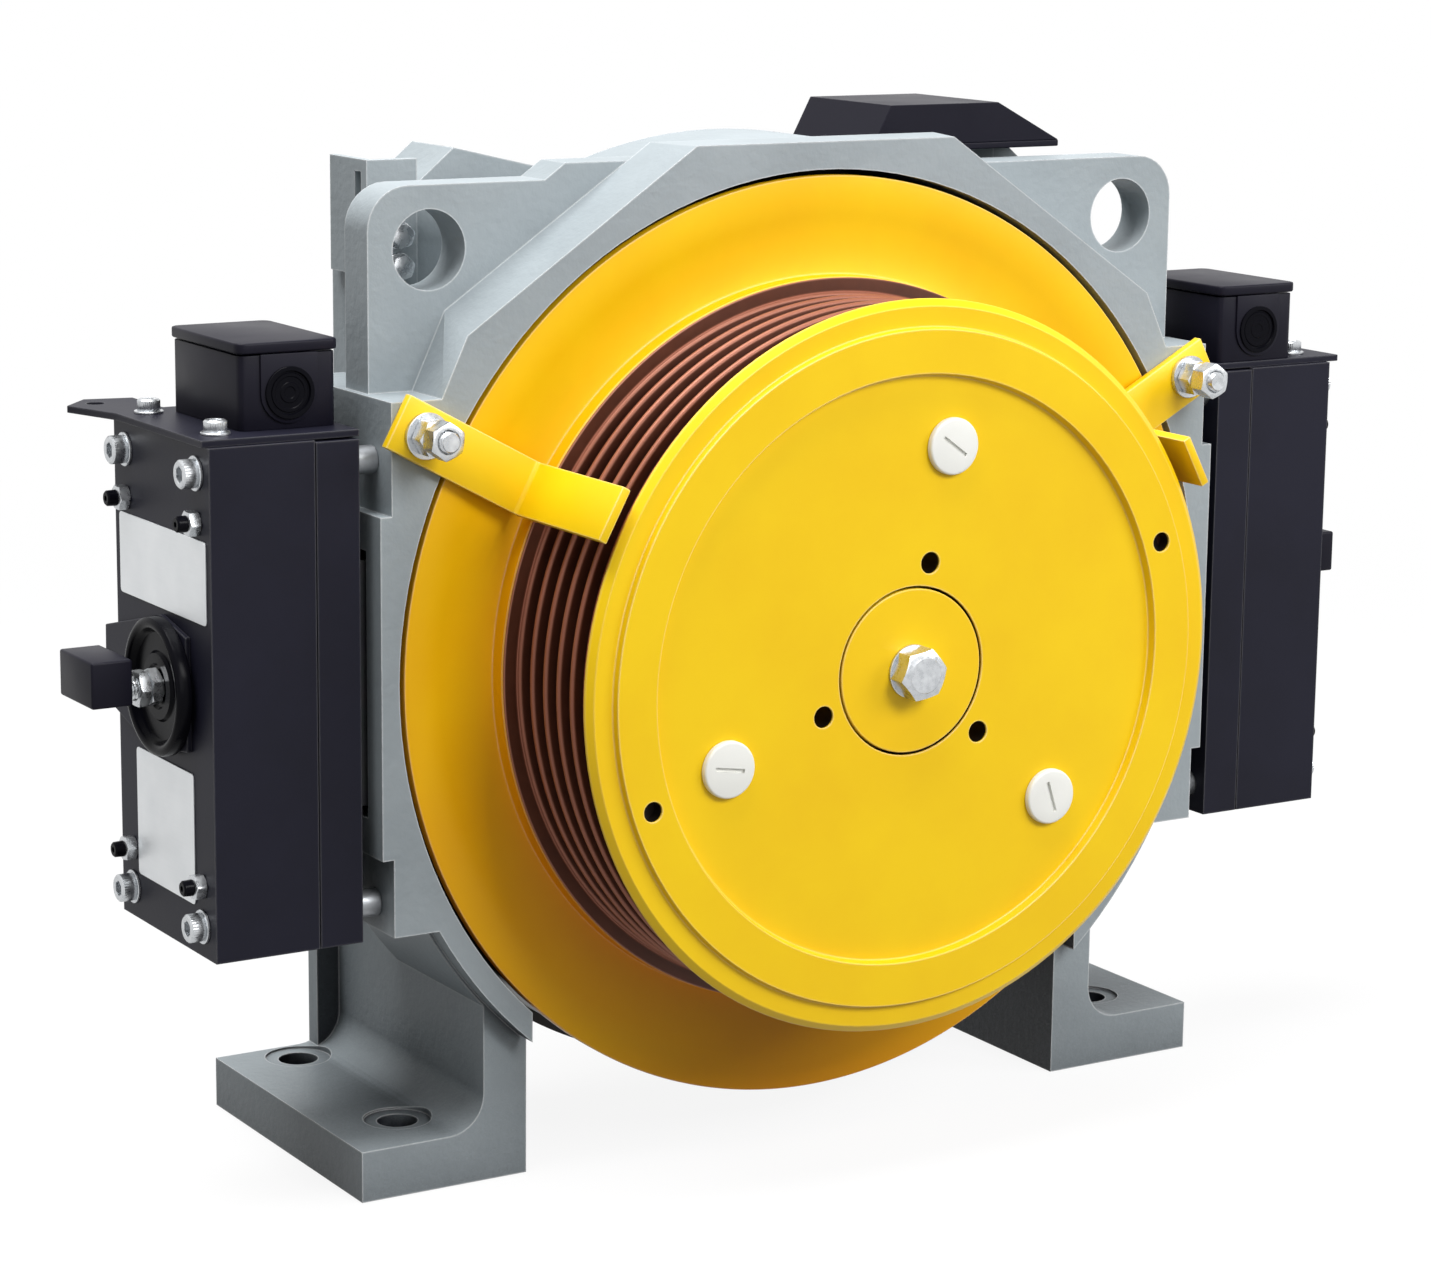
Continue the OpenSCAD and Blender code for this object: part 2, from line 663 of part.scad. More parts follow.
// Rope guard: one leg on the frame's face, one leg across the grooves
module rope_guard() rotate([0, guard_a - 180, 0]) translate([0, 0, -guard_w / 2]) difference() {
  linear_extrude(guard_w) polygon([[guard_in, guard_tip], [guard_out, guard_tip],
    [guard_out, face_y - guard_t], [guard_end, face_y - guard_t], [guard_end, face_y],
    [guard_in + 2, face_y], [guard_in, face_y - 2]]);
  translate([guard_r, 0, guard_w / 2]) bar_y(rod_r + 0.5, face_y - guard_t - cut, face_y + cut);
}
module rope_guard_right() color([0.97, 0.78, 0.08]) placed() rope_guard();
module rope_guard_left() color([0.97, 0.78, 0.08]) placed() mirror([1, 0, 0]) rope_guard();

// Studs of the rope guards
module guard_studs() color([0.78, 0.79, 0.80]) placed() both() at_angle(guard_r, 180 - guard_a)
  bar_y(rod_r, stud_tip, face_y + 18);

// Washer and two nuts on each stud
module guard_nuts() color([0.80, 0.81, 0.82]) placed() both() at_angle(guard_r, 180 - guard_a)
  difference() {
    union() {
      bar_y(13, nut_y - 3, nut_y);
      hex_y(nut_m12, nut_y - 15, nut_y - 3);
      rotate([0, 20, 0]) hex_y(nut_m12, nut_y - 27, nut_y - 15);
    }
    bar_y(rod_r + fit, stud_tip, face_y);
  }

// Magnet body of a brake, with pockets for coils and springs
module brake_magnet() difference() {
  block(magnet_x, brake_x, 0, brake_w, brake_low, brake_top);
  for (s = [-1, 1]) translate([0, rod_y, rod_z + s * coil_step]) difference() {
    bar_x(coil_out, magnet_x - cut, magnet_x + coil_deep);
    bar_x(coil_in, magnet_x - 2, magnet_x + coil_deep + cut);
  }
  at_bolts() bar_x(bolt_r + 0.5, magnet_x - cut, brake_x + cut);
  at_springs() {
    bar_x(spring_r + 0.5, magnet_x - cut, spring_end);
    bar_x(grub_r + fit, magnet_x, brake_x + cut);
  }
  translate([0, rod_y, rod_z]) bar_x(rod_r + 1, magnet_x - cut, brake_x + cut);
  for (y = top_screw_y) translate([screw_x, y, brake_top - 8]) cylinder(r = 4 + fit, h = 20);
}
module brake_magnet_right() color([0.09, 0.09, 0.10]) placed() brake_magnet();
module brake_magnet_left() color([0.09, 0.09, 0.10]) placed() mirror([1, 0, 0]) brake_magnet();

// Coils in the magnet bodies
module brake_coils() color([0.62, 0.33, 0.16]) placed() both() for (s = [-1, 1])
  translate([0, rod_y, rod_z + s * coil_step]) difference() {
    bar_x(coil_out - 0.5, magnet_x + 0.5, magnet_x + coil_deep);
    bar_x(coil_in + 0.5, magnet_x, magnet_x + coil_deep + cut);
  }

// Armature plate of a brake
module brake_armature() difference() {
  block(arm_in, arm_x, 0, brake_w, brake_low, brake_top - 1);
  at_bolts() bar_x(sleeve_r + 0.6, arm_in - cut, arm_x + cut);
  translate([0, rod_y, rod_z]) bar_x(rod_r + fit, arm_in - cut, arm_x + cut);
}
module brake_armature_right() color([0.08, 0.08, 0.09]) placed() brake_armature();
module brake_armature_left() color([0.08, 0.08, 0.09]) placed() mirror([1, 0, 0])
  brake_armature();

// Shoe carried by the armature, hollowed to the lining
module brake_shoe() difference() {
  block(drum_r - 14, arm_in, shoe_y, shoe_y + shoe_w, -shoe_h / 2, shoe_h / 2);
  bar_y(shoe_r, 0, brake_w, $fn = fine);
}
module brake_shoe_right() color([0.30, 0.31, 0.33]) placed() brake_shoe();
module brake_shoe_left() color([0.30, 0.31, 0.33]) placed() mirror([1, 0, 0]) brake_shoe();

// Lining bonded to the shoe
module brake_lining() intersection() {
  turned([[lining_r, shoe_y], [shoe_r, shoe_y], [shoe_r, shoe_y + shoe_w],
    [lining_r, shoe_y + shoe_w]]);
  block(200, shoe_r + 5, 0, brake_w, -shoe_h / 2, shoe_h / 2);
}
module brake_lining_right() color([0.24, 0.21, 0.17]) placed() brake_lining();
module brake_lining_left() color([0.24, 0.21, 0.17]) placed() mirror([1, 0, 0]) brake_lining();

// Rod from the armature out through the magnet body
module release_rod() translate([0, rod_y, rod_z]) bar_x(rod_r, arm_in, block_x + 12);
module release_rod_right() color([0.75, 0.76, 0.78]) placed() release_rod();
module release_rod_left() color([0.75, 0.76, 0.78]) placed() mirror([1, 0, 0]) release_rod();

// Plate that seats the cup on the magnet body and reaches out behind it
module release_plate() difference() {
  slab_yz(brake_x, rel_plate_t) polygon([[rod_y - 30, 34], [rod_y + 4, 41], [rod_y + 82, 22],
    [rod_y + 83, -21], [rod_y + 24, -37], [rod_y - 30, -30]]);
  translate([0, rod_y, rod_z]) bar_x(rod_r + 1, brake_x - cut, brake_x + 10);
  translate([0, rod_y + 72, 0]) bar_x(rod_r, brake_x - cut, brake_x + 10);
}
module release_plate_right() color([0.07, 0.07, 0.08]) placed() release_plate();
module release_plate_left() color([0.07, 0.07, 0.08]) placed() mirror([1, 0, 0]) release_plate();

// Block on the rod's end, pulled to lift the brake by hand
module release_block() difference() {
  block(block_x, block_x + block_l, rod_y - 11, rod_y + 35, rod_z - 7, rod_z + 19);
  translate([0, rod_y, rod_z]) bar_x(rod_r + fit, block_x - cut, block_x + 12);
}
module release_block_right() color([0.07, 0.07, 0.08]) placed() release_block();
module release_block_left() color([0.07, 0.07, 0.08]) placed() mirror([1, 0, 0]) release_block();

// Two nuts on the rod
module release_nuts() translate([0, rod_y, rod_z]) difference() {
  union() {
    hex_x(nut_m12, nuts_x, nuts_x + nut_h);
    rotate([25, 0, 0]) hex_x(nut_m12, nuts_x + nut_h, nuts_x + 2 * nut_h);
  }
  bar_x(rod_r + fit, magnet_x, block_x + cut);
}
module release_nuts_right() color([0.80, 0.81, 0.82]) placed() release_nuts();
module release_nuts_left() color([0.80, 0.81, 0.82]) placed() mirror([1, 0, 0]) release_nuts();

// Rubber cup round the rod where it leaves the magnet body
module release_cups() color([0.05, 0.05, 0.05]) placed() both() translate([0, rod_y, rod_z])
  difference() {
    union() {
      bar_x(cup_r, cup_x, cup_x + cup_h - 2);
      bar_x(cup_r - 2, cup_x, cup_x + cup_h);
    }
    bar_x(cup_r - 8, cup_x + 3, cup_x + cup_h + cut);
    bar_x(rod_r + 1, cup_x - cut, cup_x + cup_h);
  }

// Holding bolts of the brakes
module brake_bolts() color([0.80, 0.81, 0.82]) placed() both() at_bolts() difference() {
  union() {
    bar_x(head_r, brake_x, brake_x + head_h);
    bar_x(bolt_r, notch_x - 25, brake_x + cut);
  }
  hex_x(8, brake_x + head_h - 5, brake_x + head_h + cut);
}

// Sleeves between the frame and the magnet bodies
module brake_sleeves() color([0.72, 0.72, 0.73]) placed() both() at_bolts() difference() {
  bar_x(sleeve_r, notch_x, magnet_x);
  bar_x(bolt_r + 0.5, notch_x - cut, magnet_x + cut);
}

// Brake springs, each drawn as a ribbed tube
module brake_springs() color([0.55, 0.56, 0.58]) placed() both() at_springs()
  rotate([0, 90, 0]) rotate_extrude() polygon(concat([[spring_r - 2.5, magnet_x]],
    [for (i = [0 : 6]) each [[spring_r - 1.2, magnet_x + i * spring_p],
      [spring_r, magnet_x + (i + 0.5) * spring_p]]],
    [[spring_r - 1.2, magnet_x + 7 * spring_p], [spring_r - 2.5, magnet_x + 7 * spring_p]]));

// Adjusting screws with their lock nuts
module adjusters() color([0.80, 0.81, 0.82]) placed() both() at_springs() {
  bar_x(grub_r, magnet_x + 7 * spring_p, grub_end);
  bar_x(spring_r - 1, magnet_x + 7 * spring_p, spring_end - 0.5);
  hex_x(13, brake_x, grub_end);
}

// Plastic caps on the adjusting screws
module adjuster_caps() color([0.06, 0.06, 0.06]) placed() both() at_springs() {
  bar_x(grub_r + 0.6, grub_end, grub_end + 4);
  bar_x(grub_r - 0.6, grub_end + 4 - fit, grub_end + 6);
}

// Plate on top of each brake, with an ear at the rear outer corner; the right one stands
// further out over the magnet body
module brake_top_plate(over) difference() {
  union() {
    block(jb_x - 4, brake_x + over, 3, brake_w, brake_top, jb_z);
    translate([0, 0, brake_top]) linear_extrude(top_t) polygon([[brake_x - 30, brake_w - 2],
      [brake_x - 30, ear_y + 12], [brake_x - 2, ear_y + 18], [brake_x + 16, ear_y - 2],
      [brake_x + over, brake_w - 11]]);
  }
  for (y = top_screw_y) translate([screw_x, y, brake_top - cut]) cylinder(r = 4.4, h = 10);
  translate([brake_x - 2, ear_y, brake_top - cut]) cylinder(r = 5, h = 10);
}
module brake_top_plates() color([0.08, 0.08, 0.09]) placed() {
  brake_top_plate(9);
  mirror([1, 0, 0]) brake_top_plate(3);
}

// Screws of the top plates
module top_plate_screws() color([0.80, 0.81, 0.82]) placed() both() for (y = top_screw_y)
  translate([screw_x, y, 0]) difference() {
    union() {
      translate([0, 0, jb_z]) cylinder(r = 6.5, h = 8);
      translate([0, 0, brake_top - 7]) cylinder(r = 4, h = top_t + 8);
    }
    translate([0, 0, jb_z + 4]) cylinder(r = 6 / sqrt(3), h = 5, $fn = 6);
  }

// Blank label plates on the outer faces
module label_plates() color([0.80, 0.81, 0.82]) placed() both() {
  block(brake_x, brake_x + label_t, 5, brake_w - 7, rod_z + 42, rod_z + 88);
  block(brake_x, brake_x + label_t, 26, brake_w - 25, rod_z - 118, rod_z - 44);
}

// Junction box of a brake; the right one sits further forward
module junction_box() difference() {
  block(jb_x, jb_x + box_w, 0, box_d, jb_z, jb_z + box_h);
  block(jb_x + box_wall, jb_x + box_w - box_wall, box_wall, box_d - box_wall, jb_z + box_wall,
    jb_z + box_h + cut);
  translate([jb_x + box_w / 2, 0, entry_z]) bar_y(entry_r + fit, -cut, box_wall + cut);
}
module at_boxes() {
  translate([0, jb_y - jb_shift, 0]) children();
  mirror([1, 0, 0]) translate([0, jb_y, 0]) children();
}
module junction_boxes() color([0.07, 0.07, 0.08]) placed() at_boxes() junction_box();

// Lids of the junction boxes
module junction_lids() color([0.07, 0.07, 0.08]) placed() at_boxes() {
  block(jb_x - 1.5, jb_x + box_w + 1.5, -1.5, box_d + 1.5, jb_z + box_h, jb_z + box_h + 6);
  block(jb_x + box_wall + 0.3, jb_x + box_w - box_wall - 0.3, box_wall + 0.3,
    box_d - box_wall - 0.3, jb_z + box_h - 3, jb_z + box_h + cut);
}

// Round plugs in the cable entries
module entry_plugs() color([0.06, 0.06, 0.06]) placed() at_boxes()
  translate([jb_x + box_w / 2, 0, entry_z]) difference() {
    union() {
      bar_y(entry_r + 2.5, -3, 0);
      bar_y(entry_r, -cut, box_wall + 3);
    }
    bar_y(entry_r - 2, -4, -1.2);
  }

// Terminal box behind the right lifting eye
module tb_outline(d) polygon([[tb_x + d, tb_z + 4], [tb_x + 13 + d / 2, tb_z + tb_h - d],
  [tb_x + tb_top - d / 2, tb_z + tb_h - d], [tb_x + tb_w - 2 * d, tb_z + 4]]);
module terminal_box() color([0.10, 0.10, 0.12]) placed() difference() {
  block(tb_x, tb_x + tb_w, tb_y, tb_y + tb_d, tb_z, tb_z + 4);
  translate([tb_x + tb_w / 2, tb_y + tb_d / 2, tb_z - cut]) cylinder(r = 8, h = 10);
}
module terminal_lid() color([0.10, 0.10, 0.12]) placed() difference() {
  slab_xz(tb_y, tb_d) tb_outline(0);
  slab_xz(tb_y + box_wall, tb_d - 2 * box_wall) difference() {
    tb_outline(box_wall);
    translate([tb_x, tb_z]) square([tb_w, 4 - fit]);
  }
  translate([0, tb_y + tb_d, tb_z]) block(tb_x + 20, tb_x + 40, -4, 1, 5, 13);
}

// Bracket bolted to the left shoulder
module side_bracket() color([0.50, 0.53, 0.56]) placed() difference() {
  union() {
    block(-shoulder_x - 1, -shoulder_x + 26, bracket_y - 5, bracket_y, bracket_low, shoulder_z - 5);
    block(-shoulder_x - 6, -shoulder_x - 1, bracket_y - 5, bracket_y + 42, bracket_low + 7, shoulder_z - 5);
  }
  for (z = bracket_z) translate([bracket_x, 0, z]) bar_y(4.5, bracket_y - 6, bracket_y + cut);
  block(-shoulder_x - 10, -shoulder_x, bracket_y + 2, bracket_y + 10, bracket_low + 20, shoulder_z - 12);
}

// Bolts of the bracket with their washers
module bracket_bolts() color([0.80, 0.81, 0.82]) placed() for (z = bracket_z)
  translate([bracket_x, 0, z]) {
    bar_y(8, bracket_y - 6.6, bracket_y - 5);
    hex_y(13, bracket_y - 12, bracket_y - 6.6);
    bar_y(4, bracket_y - 6, bracket_y + 18);
  }

frame();
rotor();
rope_rim();
front_plate();
rim_screws();
plugs();
shaft();
shaft_disc();
shaft_bolt();
front_bearing_outer();
front_bearing_inner();
front_bearing_rollers();
rear_bearing_outer();
rear_bearing_inner();
rear_bearing_rollers();
magnets();
stator_core();
winding();
front_cover();
rear_cover();
cover_screws();
encoder_body();
encoder_rotor();
rope_guard_left();
rope_guard_right();
guard_studs();
guard_nuts();
brake_magnet_left();
brake_magnet_right();
brake_coils();
brake_armature_left();
brake_armature_right();
brake_shoe_left();
brake_shoe_right();
brake_lining_left();
brake_lining_right();
release_rod_left();
release_rod_right();
release_plate_left();
release_plate_right();
release_block_left();
release_block_right();
release_nuts_left();
release_nuts_right();
release_cups();
brake_bolts();
brake_sleeves();
brake_springs();
adjusters();
adjuster_caps();
brake_top_plates();
top_plate_screws();
label_plates();
junction_boxes();
junction_lids();
entry_plugs();
terminal_box();
terminal_lid();
side_bracket();
bracket_bolts();
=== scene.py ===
import json
import math

import bmesh
import bpy
from mathutils import Matrix, Vector

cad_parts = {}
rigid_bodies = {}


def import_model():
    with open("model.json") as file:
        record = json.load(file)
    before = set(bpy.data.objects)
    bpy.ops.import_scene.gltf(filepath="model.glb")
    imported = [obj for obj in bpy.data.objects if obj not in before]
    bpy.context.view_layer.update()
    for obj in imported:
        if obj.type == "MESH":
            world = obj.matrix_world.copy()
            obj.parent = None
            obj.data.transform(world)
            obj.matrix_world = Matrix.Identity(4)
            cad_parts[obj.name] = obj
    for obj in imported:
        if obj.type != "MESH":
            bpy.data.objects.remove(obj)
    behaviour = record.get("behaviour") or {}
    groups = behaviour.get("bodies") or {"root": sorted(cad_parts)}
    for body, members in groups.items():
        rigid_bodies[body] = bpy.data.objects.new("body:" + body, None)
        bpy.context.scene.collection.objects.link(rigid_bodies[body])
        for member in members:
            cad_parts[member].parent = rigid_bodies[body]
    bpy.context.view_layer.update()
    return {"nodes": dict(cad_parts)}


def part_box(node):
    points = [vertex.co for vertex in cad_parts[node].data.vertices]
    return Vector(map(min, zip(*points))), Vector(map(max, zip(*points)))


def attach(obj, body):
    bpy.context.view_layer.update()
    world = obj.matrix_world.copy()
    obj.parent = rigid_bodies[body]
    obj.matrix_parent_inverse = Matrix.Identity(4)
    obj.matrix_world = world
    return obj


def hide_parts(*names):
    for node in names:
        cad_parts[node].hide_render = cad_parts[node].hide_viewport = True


for leftover in list(bpy.data.objects):
    bpy.data.objects.remove(leftover)
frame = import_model()


# --- Housing -------------------------------------------------------------------------------
# One grey iron casting with feet, lifting eyes and brake faces, sand cast, fettled and
# spray painted with a satin two-pack enamel that leaves the sand texture showing.

MM = 0.001
AXIS_Z = (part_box("rotor")[0].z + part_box("rotor")[1].z) / 2


def srgb(code):
    """Linear colour of an sRGB hex value."""
    parts = [int(code[i:i + 2], 16) / 255 for i in (1, 3, 5)]
    return [c / 12.92 if c <= 0.04045 else ((c + 0.055) / 1.055) ** 2.4 for c in parts] + [1]


def add(tree, kind, settings=None, links=None):
    """A node with its settings, and its inputs linked from other sockets."""
    node = tree.nodes.new(kind)
    for key, value in (settings or {}).items():
        if isinstance(key, int) or key in node.inputs:
            node.inputs[key].default_value = value
        else:
            setattr(node, key, value)
    for key, source in (links or {}).items():
        tree.links.new(source, node.inputs[key])
    return node


def new_finish(name):
    """An empty material: its tree, its Principled shader and the place on the piece."""
    material = bpy.data.materials.new(name)
    material.use_nodes = True
    tree = material.node_tree
    shader = tree.nodes["Principled BSDF"]
    return material, tree, shader, add(tree, "ShaderNodeTexCoord").outputs["Object"]


def lay_on(tree, shader, colour, roughness, relief):
    """Links a finish's colour, roughness and relief to its shader."""
    for socket, source in (("Base Color", colour), ("Roughness", roughness), ("Normal", relief)):
        tree.links.new(source, shader.inputs[socket])


def enamel(name, colour, second, roughness, lump_mm, lump_depth, edge_light, shine,
           painted_shade=None):
    """Sprayed enamel over iron: clouded between two colours, thin along the edges and lightened
    there by a painted highlight.

    The sand's own lumps are under 1 mm wide, too fine to show, so they are drawn lump_mm wide.
    The last argument is for painted shade in sheltered places: its colour there, the share of
    that in the open, the openness where it starts, how far around it looks in mm, and the
    heights where it starts and where it is full.
    """
    material, tree, shader, place = new_finish(name)
    peel_mm, edge_mm = 1.2, 1.6
    cloud = add(tree, "ShaderNodeTexNoise", {"Scale": 9.0, "Detail": 5.0, "Roughness": 0.6},
                {"Vector": place})
    sand = add(tree, "ShaderNodeTexNoise", {"Scale": 1000 / lump_mm, "Detail": 3.0},
               {"Vector": place})
    peel = add(tree, "ShaderNodeTexNoise", {"Scale": 1000 / peel_mm, "Detail": 1.0},
               {"Vector": place})
    patch = add(tree, "ShaderNodeMapRange", {1: 0.3, 2: 0.62}, {0: cloud.outputs[0]})
    tint = add(tree, "ShaderNodeMix", {"data_type": "RGBA", 6: srgb(second), 7: srgb(colour)},
               {0: patch.outputs[0]})
    paint = tint.outputs[2]
    # Painted shade: where the paint is sheltered and low down it is mixed towards a darker colour.
    if painted_shade:
        deep, open_share, clear, reach_mm, top, bottom = painted_shade
        corner = add(tree, "ShaderNodeAmbientOcclusion",
                     {"samples": 8, "Distance": reach_mm * MM})
        sheltered = add(tree, "ShaderNodeMapRange", {1: clear, 2: 0.3, 3: open_share},
                        {0: corner.outputs["AO"]})
        height = add(tree, "ShaderNodeSeparateXYZ", None, {0: place})
        low_down = add(tree, "ShaderNodeMapRange", {1: top, 2: bottom}, {0: height.outputs[2]})
        share = add(tree, "ShaderNodeMath", {"operation": "MULTIPLY"},
                    {0: sheltered.outputs[0], 1: low_down.outputs[0]})
        paint = add(tree, "ShaderNodeMix", {"data_type": "RGBA", 7: srgb(deep)},
                    {0: share.outputs[0], 6: paint}).outputs[2]
    # Painted highlight: along the edges the paint is mixed towards white.
    rounded = add(tree, "ShaderNodeBevel", {"samples": 4, "Radius": edge_mm * MM})
    flat = add(tree, "ShaderNodeNewGeometry")
    alike = add(tree, "ShaderNodeVectorMath", {"operation": "DOT_PRODUCT"},
                {0: rounded.outputs[0], 1: flat.outputs["Normal"]})
    edge = add(tree, "ShaderNodeMapRange", {1: 0.995, 2: 0.80, 3: 0.0, 4: edge_light},
               {0: alike.outputs["Value"]})
    thin_lit_edges = add(tree, "ShaderNodeMix", {"data_type": "RGBA", 7: srgb("#ffffff")},
               {0: edge.outputs[0], 6: paint})
    gloss = add(tree, "ShaderNodeMapRange", {3: roughness - 0.06, 4: roughness + 0.08},
                {0: cloud.outputs[0]})
    relief = add(tree, "ShaderNodeBump", {"Strength": 0.6, "Distance": lump_depth * MM},
                 {"Height": sand.outputs[0]})
    skin = add(tree, "ShaderNodeBump", {"Strength": 0.3, "Distance": 0.03 * MM},
               {"Height": peel.outputs[0], "Normal": relief.outputs[0]})
    shader.inputs["Specular IOR Level"].default_value = shine
    lay_on(tree, shader, thin_lit_edges.outputs[2], gloss.outputs[0], skin.outputs[0])
    return material


def dress(node, material, edge_mm=0.0, segments=2):
    """Gives a CAD node its finish and breaks its sharp edges."""
    piece = frame["nodes"][node]
    piece.data.materials.clear()
    piece.data.materials.append(material)
    if edge_mm:
        weld = piece.modifiers.new("weld", "WELD")
        weld.merge_threshold = 0.02 * MM
        whole = piece.modifiers.new("whole flat faces", "DECIMATE")
        whole.decimate_type = "DISSOLVE"
        whole.angle_limit = math.radians(0.6)
        edge = piece.modifiers.new("broken edges", "BEVEL")
        edge.width = edge_mm * MM
        edge.segments = segments
        edge.limit_method = "ANGLE"
        edge.angle_limit = math.radians(32)
        even = piece.modifiers.new("flat faces stay flat", "WEIGHTED_NORMAL")
        even.weight = 100


# Satin enamel: a cool light grey with a broad sheen that the cast skin roughens. Its edges carry
# a painted highlight, and painted shade darkens the hollows of the legs and the foot holes, low
# down.
grey_enamel = enamel("satin_grey_enamel_on_cast_iron", "#9aa2a6", "#8e969a", 0.42, 5.0, 0.6,
                     0.5, 0.2, ("#1d1f24", 0.0, 0.66, 160, AXIS_Z - 0.05, AXIS_Z - 0.18))
dress("frame", grey_enamel, 1.6)


# --- Motor inside the drum -----------------------------------------------------------------
# Laminated core pressed on the bearing tube, enamelled copper winding, nickel plated magnets
# bonded in the drum, and two roller bearings. Little of it shows once the machine is closed.

def ringed_metal(name, colour, roughness, ring_mm=0.4):
    """Metal with fine rings about the machine's axis, which break the highlight.

    ring_mm is the real spacing. It is drawn about three times as wide, as it wouldn't show.
    """
    material, tree, shader, place = new_finish(name)
    ring = add(tree, "ShaderNodeTexWave", {"bands_direction": "Y", "Scale": 100 / ring_mm,
                                           "Distortion": 1.5, "Detail": 2.0}, {"Vector": place})
    cloud = add(tree, "ShaderNodeTexNoise", {"Scale": 60.0, "Detail": 3.0}, {"Vector": place})
    tint = add(tree, "ShaderNodeMix", {"data_type": "RGBA", "blend_type": "MULTIPLY", 0: 0.25,
                                       6: srgb(colour)}, {7: cloud.outputs[1]})
    gloss = add(tree, "ShaderNodeMapRange", {3: roughness - 0.07, 4: roughness + 0.08},
                {0: cloud.outputs[0]})
    relief = add(tree, "ShaderNodeBump", {"Strength": 0.25, "Distance": 0.01 * MM},
                 {"Height": ring.outputs[0]})
    shader.inputs["Metallic"].default_value = 1.0
    lay_on(tree, shader, tint.outputs[2], gloss.outputs[0], relief.outputs[0])
    return material


# Ground bearing steel is nearly a mirror. Nickel plate is a darker, softer one. The edges of
# the sheets look like dull grey lines, and the lacquered copper wire like warm reddish ones.
bearing_steel = ringed_metal("ground_bearing_steel", "#c9ccd0", 0.25)
for ring in ("front_bearing_outer", "front_bearing_inner", "front_bearing_rollers",
             "rear_bearing_outer", "rear_bearing_inner", "rear_bearing_rollers", "shaft",
             "encoder_rotor"):
    dress(ring, bearing_steel)
dress("magnets", ringed_metal("nickel_plated_magnet", "#8d9095", 0.35))
dress("stator_core", ringed_metal("stacked_steel_sheets", "#6c6d70", 0.45, 0.5))
copper_wire = ringed_metal("enamelled_copper_wire", "#a5572c", 0.30, 0.9)
dress("winding", copper_wire)


# --- Rotor and sheave ----------------------------------------------------------------------
# Cast brake drum and disc, and the front plate over the spigot, in bright yellow enamel. The
# grooved rim is bare iron, turned and left to brown, so ropes grip it.

# Bright enamel: a warm full yellow, glossier than the grey and smoother, as the iron under it
# is turned. A painted highlight lies along its edges.
yellow_enamel = enamel("bright_yellow_enamel_on_cast_iron", "#edc405", "#e8bb03", 0.36, 7.0, 0.12,
                       0.35, 0.35)
dress("shaft_disc", yellow_enamel, 0.8)


def bare_and_shaded_behind(material, *zones):
    """Leaves bare iron behind a painted face, in drilled holes and on the brake track, drawn near
    black as painted shade.

    A zone is two radii about the axis, in mm, and the place of the painted face along it.
    """
    paint_over_edge = 1.3 * MM
    tree = material.node_tree
    shader = tree.nodes["Principled BSDF"]
    place = add(tree, "ShaderNodeTexCoord").outputs["Object"]
    apart = add(tree, "ShaderNodeSeparateXYZ", None, {0: place})
    axis = add(tree, "ShaderNodeCombineXYZ", {2: AXIS_Z}, {1: apart.outputs[1]})
    radius = add(tree, "ShaderNodeVectorMath", {"operation": "DISTANCE"},
                 {0: place, 1: axis.outputs[0]})
    paint = shader.inputs["Base Color"].links[0].from_socket
    for inner, outer, face in zones:
        near = add(tree, "ShaderNodeMath", {"operation": "COMPARE", 1: (inner + outer) / 2 * MM,
                                            2: (outer - inner) / 2 * MM},
                   {0: radius.outputs["Value"]})
        deep = add(tree, "ShaderNodeMath",
                   {"operation": "GREATER_THAN", 1: face + paint_over_edge},
                   {0: apart.outputs[1]})
        inside = add(tree, "ShaderNodeMath", {"operation": "MULTIPLY"},
                     {0: near.outputs[0], 1: deep.outputs[0]})
        # Painted shade: bare iron drawn near black for the shade in the holes and behind the disc.
        paint = add(tree, "ShaderNodeMix", {"data_type": "RGBA", 7: srgb("#1d1510")},
                    {0: inside.outputs[0], 6: paint}).outputs[2]
    tree.links.new(paint, shader.inputs["Base Color"])
    return material


def spin(shape, middle, along, outline, steps=72):
    """Adds a turned skin. outline(angle) lists (radius, distance along the axis) in mm."""
    along = Vector(along).normalized()
    side = Vector((0, 0, 1)) if abs(along.z) < 0.5 else Vector((1, 0, 0))
    cross = along.cross(side)
    rows = []
    for step in range(steps):
        angle = 2 * math.pi * step / steps
        out = side * math.cos(angle) + cross * math.sin(angle)
        rows.append([shape.verts.new(Vector(middle) + (along * h + out * r) * MM)
                     for r, h in outline(angle)])
    for here, there in zip(rows, rows[1:] + rows[:1]):
        for a, b, c, d in zip(here, here[1:], there[1:], there):
            shape.faces.new((a, b, c, d))


def fit(name, shape, material, body, nodes, sharp=32):
    """Makes the finished mesh a piece that rides on a body and stands for CAD nodes."""
    bmesh.ops.remove_doubles(shape, verts=shape.verts, dist=0.002 * MM)
    bmesh.ops.recalc_face_normals(shape, faces=shape.faces)
    mesh = bpy.data.meshes.new(name)
    shape.to_mesh(mesh)
    shape.free()
    mesh.shade_smooth()
    mesh.set_sharp_from_angle(angle=math.radians(sharp))
    mesh.materials.append(material)
    piece = bpy.data.objects.new(name, mesh)
    bpy.context.scene.collection.objects.link(piece)
    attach(piece, body)
    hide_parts(*nodes)


SPIGOT_LONG = 97.0
DISC_FACE = round(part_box("rotor")[0].y + SPIGOT_LONG * MM, 6)


def turned(name, outline, material, node):
    """A piece of the rotor turned about its axis: (radius, distance behind the disc) in mm."""
    shape = bmesh.new()
    spin(shape, (0, DISC_FACE, AXIS_Z), (0, 1, 0), lambda angle: outline, steps=288)
    fit(name, shape, material, "rotor", [node])
